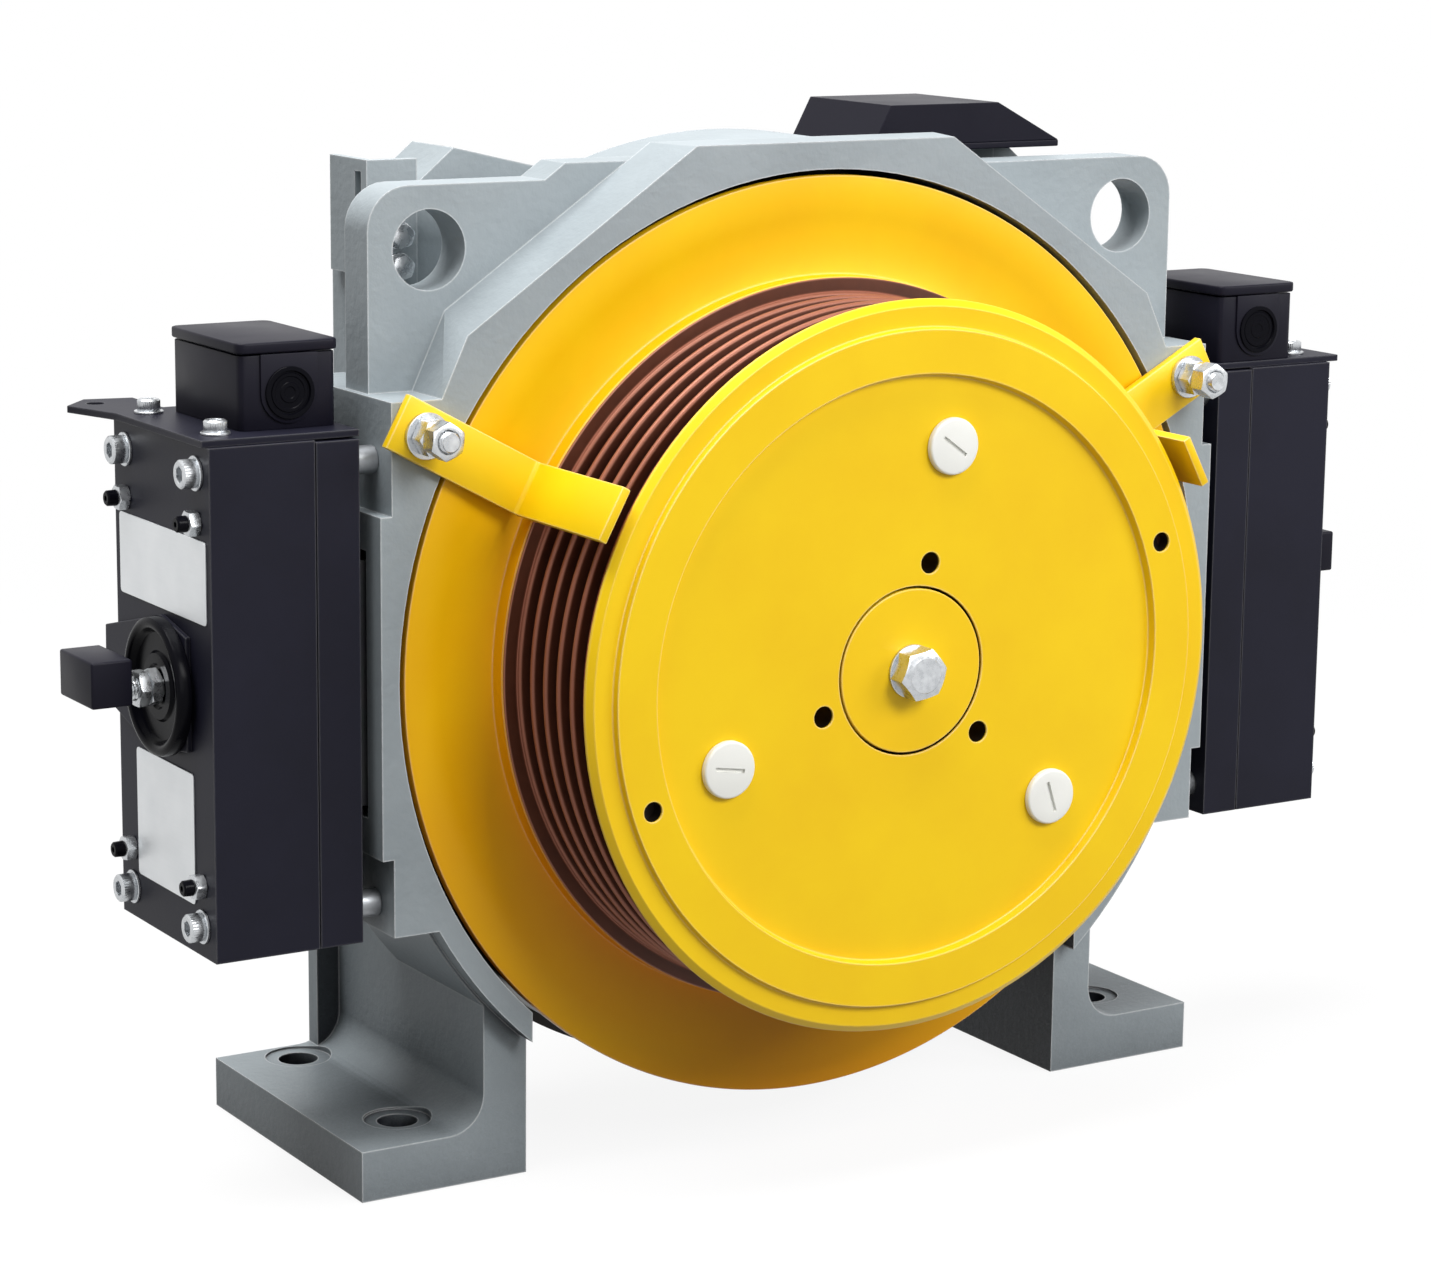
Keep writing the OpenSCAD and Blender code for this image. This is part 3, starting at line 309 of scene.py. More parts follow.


# The same enamel, a touch more orange, with painted shade: deeper and more orange low on the
# drum and close to the rim.
cast_enamel = enamel("bright_yellow_enamel_with_painted_shade", "#efbf04", "#ebb403", 0.36, 7.0,
                     0.12, 0.35, 0.25, ("#e28500", 0.35, 1.0, 80, AXIS_Z + 0.2, AXIS_Z - 0.16))

# The drum's radii, and its depths from the disc's face back, in mm.
bore_r, hub_r, spigot_in, spigot_r = 40.1, 78, 170, 186
shoulder_r, disc_r, drum_r, lip_r, drum_in = 215.5, 273.5, 270, 276, 246
hub_front, shoulder_front, disc_edge = -83, -11, -5
web_back, hub_back, lip_front, lip_back = 16, 20, 84, 90
drum = [
    (bore_r, hub_front), (hub_r, hub_front), (hub_r, 0), (spigot_in, 0),
    (spigot_in, -SPIGOT_LONG), (spigot_r, -SPIGOT_LONG), (spigot_r, shoulder_front),
    (shoulder_r - 0.6, shoulder_front), (shoulder_r, shoulder_front + 0.6), (shoulder_r, -2),
    (shoulder_r + 0.6, -0.6), (shoulder_r + 2, 0), (250, -2.6), (disc_r - 1.1, disc_edge),
    (disc_r - 0.3, disc_edge + 0.3), (disc_r, disc_edge + 1), (disc_r, 4), (drum_r, 8),
    (drum_r, lip_front), (lip_r, lip_front), (lip_r, lip_back), (drum_in, lip_back),
    (drum_in, web_back), (hub_r, web_back), (hub_r, hub_back), (bore_r, hub_back),
    (bore_r, hub_front)]
# Bare iron shows on the brake track and in the holes of the spigot's end, drawn near black as
# painted shade.
turned("drum_and_disc", drum,
       bare_and_shaded_behind(cast_enamel, (260, 280, DISC_FACE), (120, 200, DISC_FACE - 0.1)),
       "rotor")
# On the front plate it stops at the tapped holes round the shaft disc and the two in the
# turned ring, which are bare inside and drawn near black as painted shade.
tapped_enamel = enamel("bright_yellow_enamel_with_tapped_holes", "#ebc305", "#e6ba03", 0.36, 7.0,
                       0.12, 0.35, 0.35)
dress("front_plate", bare_and_shaded_behind(tapped_enamel, (0, 165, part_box("shaft_disc")[0].y),
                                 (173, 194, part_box("front_plate")[0].y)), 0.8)


def browned_iron(name):
    """Turned grey iron under a thin brown oxide: rings from the tool, ruddier where handled, with
    painted shade in the grooves and a painted highlight on the ridges.

    The tool's rings are 0.2 mm apart and are drawn 2 mm apart, as they wouldn't show.
    """
    material, tree, shader, place = new_finish(name)
    tool = add(tree, "ShaderNodeTexWave", {"bands_direction": "Y", "Scale": 160.0,
                                           "Distortion": 0.4, "Detail": 1.0}, {"Vector": place})
    streak_place = add(tree, "ShaderNodeMapping", {"Scale": (3.0, 60.0, 3.0)}, {"Vector": place})
    streak = add(tree, "ShaderNodeTexNoise", {"Scale": 12.0, "Detail": 4.0, "Roughness": 0.65},
                 {"Vector": streak_place.outputs[0]})
    speck = add(tree, "ShaderNodeTexNoise", {"Scale": 420.0, "Detail": 2.0}, {"Vector": place})
    tint = add(tree, "ShaderNodeValToRGB", None, {0: streak.outputs[0]})
    for stop, where, colour in zip(tint.color_ramp.elements, (0.30, 0.72), ("#4d2413", "#703c26")):
        stop.position, stop.color = where, srgb(colour)
    axis = add(tree, "ShaderNodeCombineXYZ", {2: AXIS_Z},
               {1: add(tree, "ShaderNodeSeparateXYZ", None, {0: place}).outputs[1]})
    radius = add(tree, "ShaderNodeVectorMath", {"operation": "DISTANCE"},
                 {0: place, 1: axis.outputs[0]})
    # Painted shade and highlight by radius: dark deep in the grooves, light on each ridge and on
    # the shoulder's edge.
    first_r, last_r = 200, 216
    painted_light_by_radius = add(tree, "ShaderNodeValToRGB", None,
               {0: add(tree, "ShaderNodeMapRange", {1: first_r * MM, 2: last_r * MM},
                       {0: radius.outputs["Value"]}).outputs[0]})
    bands = ((200.5, "#2a0f07"), (204.5, "#4a2212"), (206.2, "#9d5f47"), (207.3, "#9d5f47"),
             (208.2, "#43200f"), (214.2, "#4d2614"), (215.0, "#a5705a"))
    while len(painted_light_by_radius.color_ramp.elements) < len(bands):
        painted_light_by_radius.color_ramp.elements.new(0.5)
    for stop, (where, colour) in zip(painted_light_by_radius.color_ramp.elements, bands):
        stop.position, stop.color = (where - first_r) / (last_r - first_r), srgb(colour)
    groove = add(tree, "ShaderNodeMix", {"data_type": "RGBA", 0: 0.68},
                 {6: tint.outputs[0], 7: painted_light_by_radius.outputs[0]})
    gloss = add(tree, "ShaderNodeMapRange", {3: 0.34, 4: 0.55}, {0: speck.outputs[0]})
    relief = add(tree, "ShaderNodeBump", {"Strength": 0.35, "Distance": 0.04 * MM},
                 {"Height": tool.outputs[0]})
    shader.inputs["Metallic"].default_value = 0.3
    lay_on(tree, shader, groove.outputs[2], gloss.outputs[0], relief.outputs[0])
    return material


# Grooves for 10 mm ropes whose middles run at 200 mm from the axis, and ridges between them.
GROOVES, FIRST_GROOVE, GROOVE_PITCH = 5, -21, 15
PITCH_R, ROPE_SEAT_R = 200, 5.5
RIDGE_R, RIDGE_ROUND = 207, 2
rim_front, rim_back = -96.9, shoulder_front
rim_in, rim_edge_r = spigot_r + 0.1, shoulder_r - 0.3
rim = [(rim_in, rim_back), (rim_edge_r - 0.6, rim_back), (rim_edge_r, rim_back - 0.6),
       (rim_edge_r, rim_back - 1.6), (rim_edge_r - 0.4, rim_back - 2),
       (RIDGE_R + 0.4, rim_back - 2), (RIDGE_R, rim_back - 2.3)]
quarter = [math.radians(15 * i) for i in range(7)]
for groove in range(GROOVES):
    middle = FIRST_GROOVE - groove * GROOVE_PITCH
    ridge_r, half = RIDGE_R - RIDGE_ROUND, GROOVE_PITCH / 2
    rim += [(ridge_r + RIDGE_ROUND * math.cos(a), middle + half - RIDGE_ROUND * math.sin(a))
            for a in quarter]
    rim += [(PITCH_R - ROPE_SEAT_R * math.sin(2 * a), middle + ROPE_SEAT_R * math.cos(2 * a))
            for a in quarter]
    rim += [(ridge_r + RIDGE_ROUND * math.cos(a), middle - half + RIDGE_ROUND * math.sin(a))
            for a in reversed(quarter)]
rim += [(RIDGE_R, rim_front), (rim_in, rim_front), (rim_in, rim_back)]
# Browned iron: painted shade dark and matt in the grooves, a painted coppery highlight on each
# ridge.
turned("grooved_rim", rim, browned_iron("browned_turned_iron"), "rope_rim")


# --- Plugs and screws of the front plate ---------------------------------------------------
# Moulded white nylon plugs with a coin slot close the three screw pockets. Each is pushed in
# flush, with a small radius round its head. The socket screws under them are blackened.

def solids(node):
    """Lowest and highest corner of each separate solid of a CAD node."""
    shape = bmesh.new()
    shape.from_mesh(frame["nodes"][node].data)
    bmesh.ops.remove_doubles(shape, verts=shape.verts, dist=0.01 * MM)
    left, boxes = set(shape.verts), []
    while left:
        todo, island = [left.pop()], []
        while todo:
            corner = todo.pop()
            island.append(corner.co.copy())
            for edge in corner.link_edges:
                other = edge.other_vert(corner)
                if other in left:
                    left.remove(other)
                    todo.append(other)
        boxes.append((Vector([min(p[i] for p in island) for i in range(3)]),
                      Vector([max(p[i] for p in island) for i in range(3)])))
    shape.free()
    return sorted(boxes, key=lambda b: tuple(round(c, 4) for c in b[0]))


def moulded(name, colour, second, roughness, grain_mm, depth, shine=0.5):
    """Moulded plastic or rubber: two near colours, clouded, with the fine grain of the mould."""
    material, tree, shader, place = new_finish(name)
    grain = add(tree, "ShaderNodeTexVoronoi", {"Scale": 1000 / grain_mm}, {"Vector": place})
    cloud = add(tree, "ShaderNodeTexNoise", {"Scale": 25.0, "Detail": 4.0}, {"Vector": place})
    tint = add(tree, "ShaderNodeMix", {"data_type": "RGBA", 6: srgb(colour),
                                       7: srgb(second)}, {0: cloud.outputs[0]})
    gloss = add(tree, "ShaderNodeMapRange", {3: roughness - 0.08, 4: roughness + 0.1},
                {0: cloud.outputs[0]})
    relief = add(tree, "ShaderNodeBump", {"Strength": 0.35, "Distance": depth * MM},
                 {"Height": grain.outputs[0]})
    shader.inputs["Specular IOR Level"].default_value = shine
    lay_on(tree, shader, tint.outputs[2], gloss.outputs[0], relief.outputs[0])
    return material


# Natural nylon: a clean, faintly warm white with a soft sheen.
white_nylon = moulded("moulded_white_nylon", "#e6e6e1", "#dcdcd6", 0.42, 0.6, 0.02)
SLOT_TURNS = (-9, -36, -72)
SLOT_LONG, SLOT_WIDE, SLOT_DEEP = 19.0, 2.4, 1.7
RIM_STEPS = 72


def slotted_face(shape, middle, radius, turn):
    """Closes a plug's face round a straight coin slot, turned by an angle in degrees."""
    def corner(x, z, depth):
        return shape.verts.new(Vector(middle) + Vector((x, depth, z)) * MM)

    c, s = math.cos(math.radians(turn)), math.sin(math.radians(turn))
    a, b = SLOT_LONG / 2, SLOT_WIDE / 2
    slot = [(x * c - z * s, x * s + z * c) for x, z in ((-a, -b), (a, -b), (a, b), (-a, b))]
    rim = [corner(radius * math.sin(2 * math.pi * i / RIM_STEPS),
                  radius * math.cos(2 * math.pi * i / RIM_STEPS), 0) for i in range(RIM_STEPS)]
    mouth, floor = [[corner(x, z, depth) for x, z in slot] for depth in (0, SLOT_DEEP)]
    edges = [shape.edges.new(ends) for loop in (rim, mouth)
             for ends in zip(loop, loop[1:] + loop[:1])]
    bmesh.ops.triangle_fill(shape, use_beauty=True, use_dissolve=False, edges=edges)
    for i in range(4):
        shape.faces.new((mouth[i - 1], mouth[i], floor[i], floor[i - 1]))
    shape.faces.new(floor)


HEAD_ROUND = 1.4
shape = bmesh.new()
for (low, high), turn in zip(solids("plugs"), SLOT_TURNS):
    seat = Vector(((low.x + high.x) / 2, low.y, (low.z + high.z) / 2))
    head, deep = (high.x - low.x) / 2 / MM - 0.6, (high.y - low.y) / MM
    spin(shape, seat, (0, 1, 0), lambda angle: [
        (head - HEAD_ROUND, 0), (head - 0.8, 0.15), (head - 0.2, 0.7), (head, HEAD_ROUND),
        (head, 3.6), (head - 2.6, 4.0), (head - 2.6, deep), (0, deep)], RIM_STEPS)
    slotted_face(shape, seat, head - HEAD_ROUND, turn)
fit("front_plugs", shape, white_nylon, "rotor", ["plugs"], 40)
# Blackened steel: a dark oiled grey that still catches a soft highlight.
black_screw = ringed_metal("blackened_screw_steel", "#3c3d40", 0.38)
dress("rim_screws", black_screw, 0.3)


# --- Shaft bolt ----------------------------------------------------------------------------
# Forged hexagon bolt, bright zinc plated, with a flat washer under its chamfered head and a
# turned boss on top of it. It draws the yellow disc against the hub.

def zinc_plate(name, colour, roughness):
    """Zinc plate on steel: silvery, cloudy in patches of a few mm, with soft scuffs."""
    material, tree, shader, place = new_finish(name)
    cloud = add(tree, "ShaderNodeTexNoise", {"Scale": 220.0, "Detail": 4.0, "Roughness": 0.6},
                {"Vector": place})
    tint = add(tree, "ShaderNodeMix", {"data_type": "RGBA", 6: srgb("#a9adb1"), 7: srgb(colour)},
               {0: cloud.outputs[0]})
    gloss = add(tree, "ShaderNodeMapRange", {1: 0.3, 2: 0.7, 3: roughness - 0.08,
                                             4: roughness + 0.12}, {0: cloud.outputs[0]})
    relief = add(tree, "ShaderNodeBump", {"Strength": 0.2, "Distance": 0.02 * MM},
                 {"Height": cloud.outputs[0]})
    shader.inputs["Metallic"].default_value = 0.9
    lay_on(tree, shader, tint.outputs[2], gloss.outputs[0], relief.outputs[0])
    return material


def six(flats, angle):
    """Distance from the middle of a hexagon to its edge."""
    return flats / 2 / math.cos(angle % (math.pi / 3) - math.pi / 6)


def hexagon(flats, bore, low, high, turn, dished=True):
    """Outline of a nut, or of a bolt head where bore is 0, chamfered by 30 degrees."""
    round_r, slope = flats * 0.475, 0.577

    def outline(angle):
        corner = six(flats, angle + turn)
        drop = (corner - round_r) * slope
        foot = [(bore, low), (round_r, low), (corner, low + drop)] if dished else [
            (bore, low), (corner, low)]
        top = [(corner, high - drop), (round_r, high)]
        if bore:
            top += [(bore + 1, high), (bore, high - 1), (bore, low)]
        else:
            top += [(0, high)]
        return foot + top
    return outline


def ring(inner, outer, low, high, edge=0.3):
    """Outline of a washer."""
    return lambda angle: [(inner, low), (outer - edge, low), (outer, low + edge),
                          (outer, high - edge), (outer - edge, high), (inner, high), (inner, low)]


def thread(radius, pitch, low, high):
    """Outline of a threaded end: a true helix, chamfered at its tip, six points to a turn."""
    depth = 0.55 * pitch
    count = int((high - low) / pitch * 6)

    def outline(angle):
        points = [(0, low), (radius - depth, low)]
        for i in range(count + 1):
            along = low + (high - low) * i / count
            crest = abs(((along / pitch - angle / (2 * math.pi)) % 1) * 2 - 1)
            limit = radius - depth + max(0.0, high - 0.6 - along)
            points.append((min(radius - depth * (1 - crest), limit), along))
        return points + [(radius - depth - 0.6, high), (0, high)]
    return outline


# Bright zinc: the lightest metal here, silvery white with blurred reflections.
bright_zinc = zinc_plate("bright_zinc_plated_steel", "#dfe1e3", 0.27)
M18_FLATS, M18_WASHER_R, M18_WASHER_T, BOSS_R = 27, 15.5, 2.0, 10.8
low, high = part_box("shaft_bolt")
plate_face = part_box("shaft_disc")[0].y
head_depth = (plate_face - low.y) / MM
bolt_place = Vector(((low.x + high.x) / 2, plate_face, AXIS_Z))
shape = bmesh.new()
spin(shape, bolt_place, (0, -1, 0), ring(9.2, M18_WASHER_R, 0, M18_WASHER_T))
spin(shape, bolt_place, (0, -1, 0),
     hexagon(M18_FLATS, 0, M18_WASHER_T, head_depth - 0.6, 0.35, dished=False))
spin(shape, bolt_place, (0, -1, 0), lambda angle: [
    (0, head_depth), (BOSS_R - 0.8, head_depth), (BOSS_R, head_depth - 0.7),
    (BOSS_R, head_depth - 2)])
fit("shaft_end_bolt", shape, bright_zinc, "rotor", ["shaft_bolt"])


# --- Rope guards ---------------------------------------------------------------------------
# Two straps of 6 mm flat steel, bent square with a small inner radius and painted yellow like
# the sheave. Each hangs on an M12 stud in the housing, held by a washer and two nuts.

def slab(shape, outline, along, low, high, soft, segments=3):
    """Adds a plate: its outline across an axis, low to high along it, its edges soft, in mm."""
    turn = {"x": lambda a, b, h: (h, a, b), "y": lambda a, b, h: (a, h, b),
            "z": lambda a, b, h: (a, b, h)}[along]
    ends = [[shape.verts.new([c * MM for c in turn(a, b, h)]) for a, b in outline]
            for h in (low, high)]
    faces = [shape.faces.new(ends[0]), shape.faces.new(ends[1])]
    count = len(outline)
    for i in range(count):
        j = (i + 1) % count
        faces.append(shape.faces.new((ends[0][i], ends[0][j], ends[1][j], ends[1][i])))
    bmesh.ops.recalc_face_normals(shape, faces=faces)
    edges = [e for e in dict.fromkeys(e for f in faces for e in f.edges)
             if len(e.link_faces) == 2 and e.calc_face_angle(0) > math.radians(20)]
    bmesh.ops.bevel(shape, geom=edges, offset=soft * MM, segments=segments, profile=0.5,
                    affect="EDGES", clamp_overlap=True)


# The leg across the grooves stands 6 mm off the rim's shoulder, and the strap's other end is
# 19 mm past its stud.
STRAP_T, STRAP_W, BEND_R = 6.0, 32.0, 2.5
LEG_R, LEG_T, PAST_STUD = 221.5, 5.5, 19.0
# Radius and pitch of the thread, then the nuts and washers on it.
M12_THREAD = (6, 1.75)
M12_FLATS, M12_WASHER_R = 19, 13
studs = [((lo + hi) / 2, lo, hi) for lo, hi in solids("guard_studs")]
strap_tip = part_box("rope_guard_left")[0].y / MM
strap_face = round(max(hi.y for lo, hi in solids("guard_nuts")) / MM, 2) + STRAP_T


def strap_section(inner, outer, end):
    """The strap's bent shape in its own plane: radius from the axis against depth."""
    front = strap_face - STRAP_T

    def bend(r, first, last):
        turns = [first + (last - first) * i / 6 for i in range(7)]
        return [(outer + BEND_R + r * math.cos(a), front - BEND_R + r * math.sin(a))
                for a in turns]

    return ([(inner, strap_tip), (outer, strap_tip)] + bend(BEND_R, math.pi, math.pi / 2)
            + [(end, front), (end, strap_face)]
            + bend(BEND_R + outer - inner, math.pi / 2, math.pi))


for name, (middle, *_) in zip(("left", "right"), studs):
    radial = Vector((middle.x, 0, middle.z - AXIS_Z))
    reach = radial.length / MM
    angle = math.atan2(radial.z, radial.x)
    shape = bmesh.new()
    slab(shape, strap_section(LEG_R, LEG_R + LEG_T, reach + PAST_STUD), "z", -STRAP_W / 2,
         STRAP_W / 2, 0.7, 2)
    lean = Matrix(((math.cos(angle), 0, -math.sin(angle), 0), (0, 1, 0, 0),
                   (math.sin(angle), 0, math.cos(angle), AXIS_Z), (0, 0, 0, 1)))
    bmesh.ops.transform(shape, matrix=lean, verts=shape.verts)
    fit("guard_strap_" + name, shape, yellow_enamel, "housing",
        ["rope_guard_" + name])

shape = bmesh.new()
for (middle, *_), (_, nut_high) in zip(studs, solids("guard_nuts")):
    seat = Vector((middle.x, nut_high.y, middle.z))
    spin(shape, seat, (0, -1, 0), ring(6.3, M12_WASHER_R, 0, 3, 0.4))
    spin(shape, seat, (0, -1, 0), hexagon(M12_FLATS, 6.0, 3, 14.8, 0.5))
    spin(shape, seat, (0, -1, 0), hexagon(M12_FLATS, 6.0, 15.2, 27, 1.15))
fit("guard_stud_nuts", shape, bright_zinc, "housing", ["guard_nuts"])
shape = bmesh.new()
for middle, low, high in studs:
    spin(shape, (middle.x, high.y, middle.z), (0, -1, 0),
         thread(*M12_THREAD, 0, (high.y - low.y) / MM), 48)
fit("guard_stud_threads", shape, bright_zinc, "housing", ["guard_studs"], 60)


# --- Brakes --------------------------------------------------------------------------------
# On each side a cast magnet body with two coils stands on four sleeves. Its armature plate
# carries the shoe. Both are machined all over and powder coated black.

# Powder coat: a flat blue-black with a fine grain and hardly a highlight. The milled shoe is
# a dull grey, its lining a matt brown, and the sleeves' zinc is duller than the screws'.
black_coat = enamel("black_powder_coat", "#191925", "#14141e", 0.45, 1.6, 0.06, 0.08, 0.13)
milled_iron = ringed_metal("milled_shoe_iron", "#5b5d60", 0.5, 1.0)
brake_lining = moulded("pressed_brake_lining", "#3b342b", "#4a4136", 0.8, 1.2, 0.1)
for side in ("left", "right"):
    dress("brake_magnet_" + side, black_coat, 0.9)
    dress("brake_armature_" + side, black_coat, 0.7)
    dress("brake_shoe_" + side, milled_iron, 0.5)
    dress("brake_lining_" + side, brake_lining, 0.3)
dress("brake_coils", copper_wire)
dress("brake_springs", ringed_metal("oiled_spring_steel", "#77797d", 0.35, 1.5))
dress("brake_sleeves", zinc_plate("zinc_plated_sleeve", "#8f9093", 0.42), 0.8)


# --- Brake screws and adjusters ------------------------------------------------------------
# M10 socket head screws with knurled heads on flat washers hold each magnet body. The spring
# adjusters are M8 grub screws under hexagon lock nuts, with black protective caps.

def socket_head(radius, depth, key, base=0.0):
    """Outline of a socket screw's head: knurled side, chamfered rim and hexagon socket."""
    def outline(angle):
        rib = 0.22 if round(angle / (2 * math.pi) * 72) % 2 else 0.0
        sink = six(key, angle)
        return [(0, depth * 0.45), (sink, depth * 0.5), (sink, depth - 0.4),
                (sink + 0.5, depth), (radius - 1.0, depth), (radius - rib, depth - 0.9),
                (radius - rib, base + 0.5), (radius - 0.4, base), (0, base)]
    return outline


body_face = max(abs(c.x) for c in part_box("brake_magnet_right"))
shape = bmesh.new()
for low, high in solids("brake_bolts"):
    out = 1 if high.x > 0 else -1
    seat = Vector((out * body_face, (low.y + high.y) / 2, (low.z + high.z) / 2))
    spin(shape, seat, (out, 0, 0), ring(5, 9.6, 0, 1.6, 0.3))
    spin(shape, seat, (out, 0, 0), socket_head(8.0, 10.0, 8.0, 1.6))
fit("magnet_body_screws", shape, bright_zinc, "housing", ["brake_bolts"])
M8_FLATS, CAP_KEY = 13, 3.2
cap_end = (max(abs(c.x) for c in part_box("adjuster_caps")) - body_face) / MM
shape, caps = bmesh.new(), bmesh.new()
for low, high in solids("adjusters"):
    out = 1 if high.x > 0 else -1
    seat = Vector((out * body_face, (low.y + high.y) / 2, (low.z + high.z) / 2))
    spin(shape, seat, (out, 0, 0), hexagon(M8_FLATS, 0, 0, 6.5, 0.2 + seat.z))
    spin(caps, seat, (out, 0, 0), lambda angle: [
        (0, cap_end - 1.6), (six(CAP_KEY, angle), cap_end - 1.6), (six(CAP_KEY, angle), cap_end),
        (3.6, cap_end), (4.4, cap_end - 0.8), (4.6, 6.4), (0, 6.4)], 48)
fit("adjuster_lock_nuts", shape, bright_zinc, "housing", ["adjusters"])
# Rubber: the deepest black of the machine, with only a thin soft shine on its lips.
black_rubber = moulded("moulded_black_rubber", "#08080d", "#0b0b11", 0.22, 0.8, 0.01, 0.05)
fit("adjuster_end_caps", caps, black_rubber, "housing", ["adjuster_caps"])


# --- Hand release --------------------------------------------------------------------------
# A threaded rod from the armature comes out through a moulded rubber cup on a black seat
# plate. Two nuts and a plastic block on its end let a lever pull the brake open.

# Glass filled nylon: black, a little bluish, with a fine moulded grain.
black_plastic = moulded("moulded_black_plastic", "#12111b", "#16151f", 0.40, 0.7, 0.03, 0.10)
for side, out in (("left", -1), ("right", 1)):
    dress("release_plate_" + side, black_coat, 0.5)
    body = side + "_armature"
    low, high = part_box("release_rod_" + side)
    rod_y, rod_z = (low.y + high.y) / 2, (low.z + high.z) / 2
    rod_length = (high.x - low.x) / MM
    start = Vector((low.x if out > 0 else high.x, rod_y, rod_z))
    shape = bmesh.new()
    spin(shape, start, (out, 0, 0), thread(*M12_THREAD, 0, rod_length), 36)
    fit("release_thread_" + side, shape, bright_zinc, body,
        ["release_rod_" + side], 60)
    nut_low, nut_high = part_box("release_nuts_" + side)
    shape = bmesh.new()
    seat = Vector((nut_low.x if out > 0 else nut_high.x, rod_y, rod_z))
    spin(shape, seat, (out, 0, 0), hexagon(M12_FLATS, 6.0, 0, 6.9, 0.1))
    spin(shape, seat, (out, 0, 0), hexagon(M12_FLATS, 6.0, 7.1, 14, 0.55))
    fit("release_lock_nuts_" + side, shape, bright_zinc, body,
        ["release_nuts_" + side])
    low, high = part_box("release_block_" + side)
    shape = bmesh.new()
    slab(shape, [(low.y / MM, low.z / MM), (high.y / MM, low.z / MM), (high.y / MM, high.z / MM),
                 (low.y / MM, high.z / MM)], "x", low.x / MM, high.x / MM, 1.4)
    fit("release_handle_" + side, shape, black_plastic, body,
        ["release_block_" + side])
shape = bmesh.new()
for low, high in solids("release_cups"):
    out = 1 if high.x > 0 else -1
    rim = (high.y - low.y) / 2 / MM
    deep = (high.x - low.x) / MM
    seat = Vector((low.x if out > 0 else high.x, (low.y + high.y) / 2, (low.z + high.z) / 2))
    spin(shape, seat, (out, 0, 0), lambda angle: [
        (7, 0), (rim - 0.6, 0), (rim, 0.6), (rim, deep - 3.5), (rim - 0.5, deep - 1.6),
        (rim - 1.8, deep - 0.4), (rim - 3.6, deep), (rim - 5.4, deep - 0.5),
        (rim - 6.8, deep - 1.8), (rim - 7.6, 4.4), (rim - 9, 3.2), (20, 3.0), (18.5, 4.6),
        (13, 4.6), (11.5, 3.0), (7.6, 3.0), (7, 2.4), (7, 0)], 96)
fit("release_rubber_cups", shape, black_rubber, "housing", ["release_cups"])


# --- Top plates of the brakes --------------------------------------------------------------
# Folded 4 mm steel plate in the same black coat, with a holed ear for a cable tie at the
# rear corner. Two socket cap screws hold each one down.

dress("brake_top_plates", black_coat, 0.7)
shape = bmesh.new()
plate_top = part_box("brake_top_plates")[1].z
for low, high in solids("top_plate_screws"):
    seat = Vector(((low.x + high.x) / 2, (low.y + high.y) / 2, plate_top))
    spin(shape, seat, (0, 0, 1), ring(4, 8.2, 0, 1.4, 0.3))
    spin(shape, seat, (0, 0, 1), socket_head(6.5, 8.0, 6.0, 1.4))
fit("top_plate_cap_screws", shape, bright_zinc, "housing", ["top_plate_screws"])


# --- Label plates --------------------------------------------------------------------------
# Two thin aluminium plates, glued to the left brake's outer face. They stay blank: brushed
# along their length, with rounded corners.

def brushed_foil(name):
    """Matt silver foil, brushed along Y: fine streaks and a faint waviness.

    Real brush lines are too fine to show, so they are drawn about 1 mm apart.
    """
    material, tree, shader, place = new_finish(name)
    along = add(tree, "ShaderNodeMapping", {"Scale": (1.0, 0.05, 1.0)}, {"Vector": place})
    streak = add(tree, "ShaderNodeTexNoise", {"Scale": 900.0, "Detail": 2.0},
                 {"Vector": along.outputs[0]})
    cloud = add(tree, "ShaderNodeTexNoise", {"Scale": 45.0, "Detail": 3.0}, {"Vector": place})
    tint = add(tree, "ShaderNodeMix", {"data_type": "RGBA", 6: srgb("#d3d6d8"),
                                       7: srgb("#e4e6e7")}, {0: cloud.outputs[0]})
    gloss = add(tree, "ShaderNodeMapRange", {3: 0.36, 4: 0.52}, {0: streak.outputs[0]})
    relief = add(tree, "ShaderNodeBump", {"Strength": 0.25, "Distance": 0.02 * MM},
                 {"Height": streak.outputs[0]})
    shader.inputs["Metallic"].default_value = 0.9
    lay_on(tree, shader, tint.outputs[2], gloss.outputs[0], relief.outputs[0])
    return material


def rounded(x0, x1, y0, y1, r):
    """Rectangle with round corners."""
    corners = ((x1 - r, y1 - r, 0), (x0 + r, y1 - r, 90), (x0 + r, y0 + r, 180),
               (x1 - r, y0 + r, 270))
    return [(x + r * math.cos(math.radians(a + d)), y + r * math.sin(math.radians(a + d)))
            for x, y, a in corners for d in (0, 30, 60, 90)]


shape = bmesh.new()
for low, high in solids("label_plates"):
    if high.x < 0:
        slab(shape, rounded(low.y / MM, high.y / MM, low.z / MM, high.z / MM, 2.5), "x",
             low.x / MM, high.x / MM, 0.15, 1)
# Brushed foil: pale and even, with a streaky sheen.
fit("blank_label_plates", shape, brushed_foil("blank_brushed_aluminium_foil"), "housing",
    ["label_plates"])


# --- Junction boxes ------------------------------------------------------------------------
# Moulded black boxes with round corners on the top plates. Each lid overlaps its box by a
# lip. A U-shaped pad on the front carries the round knock-out of the cable entry.

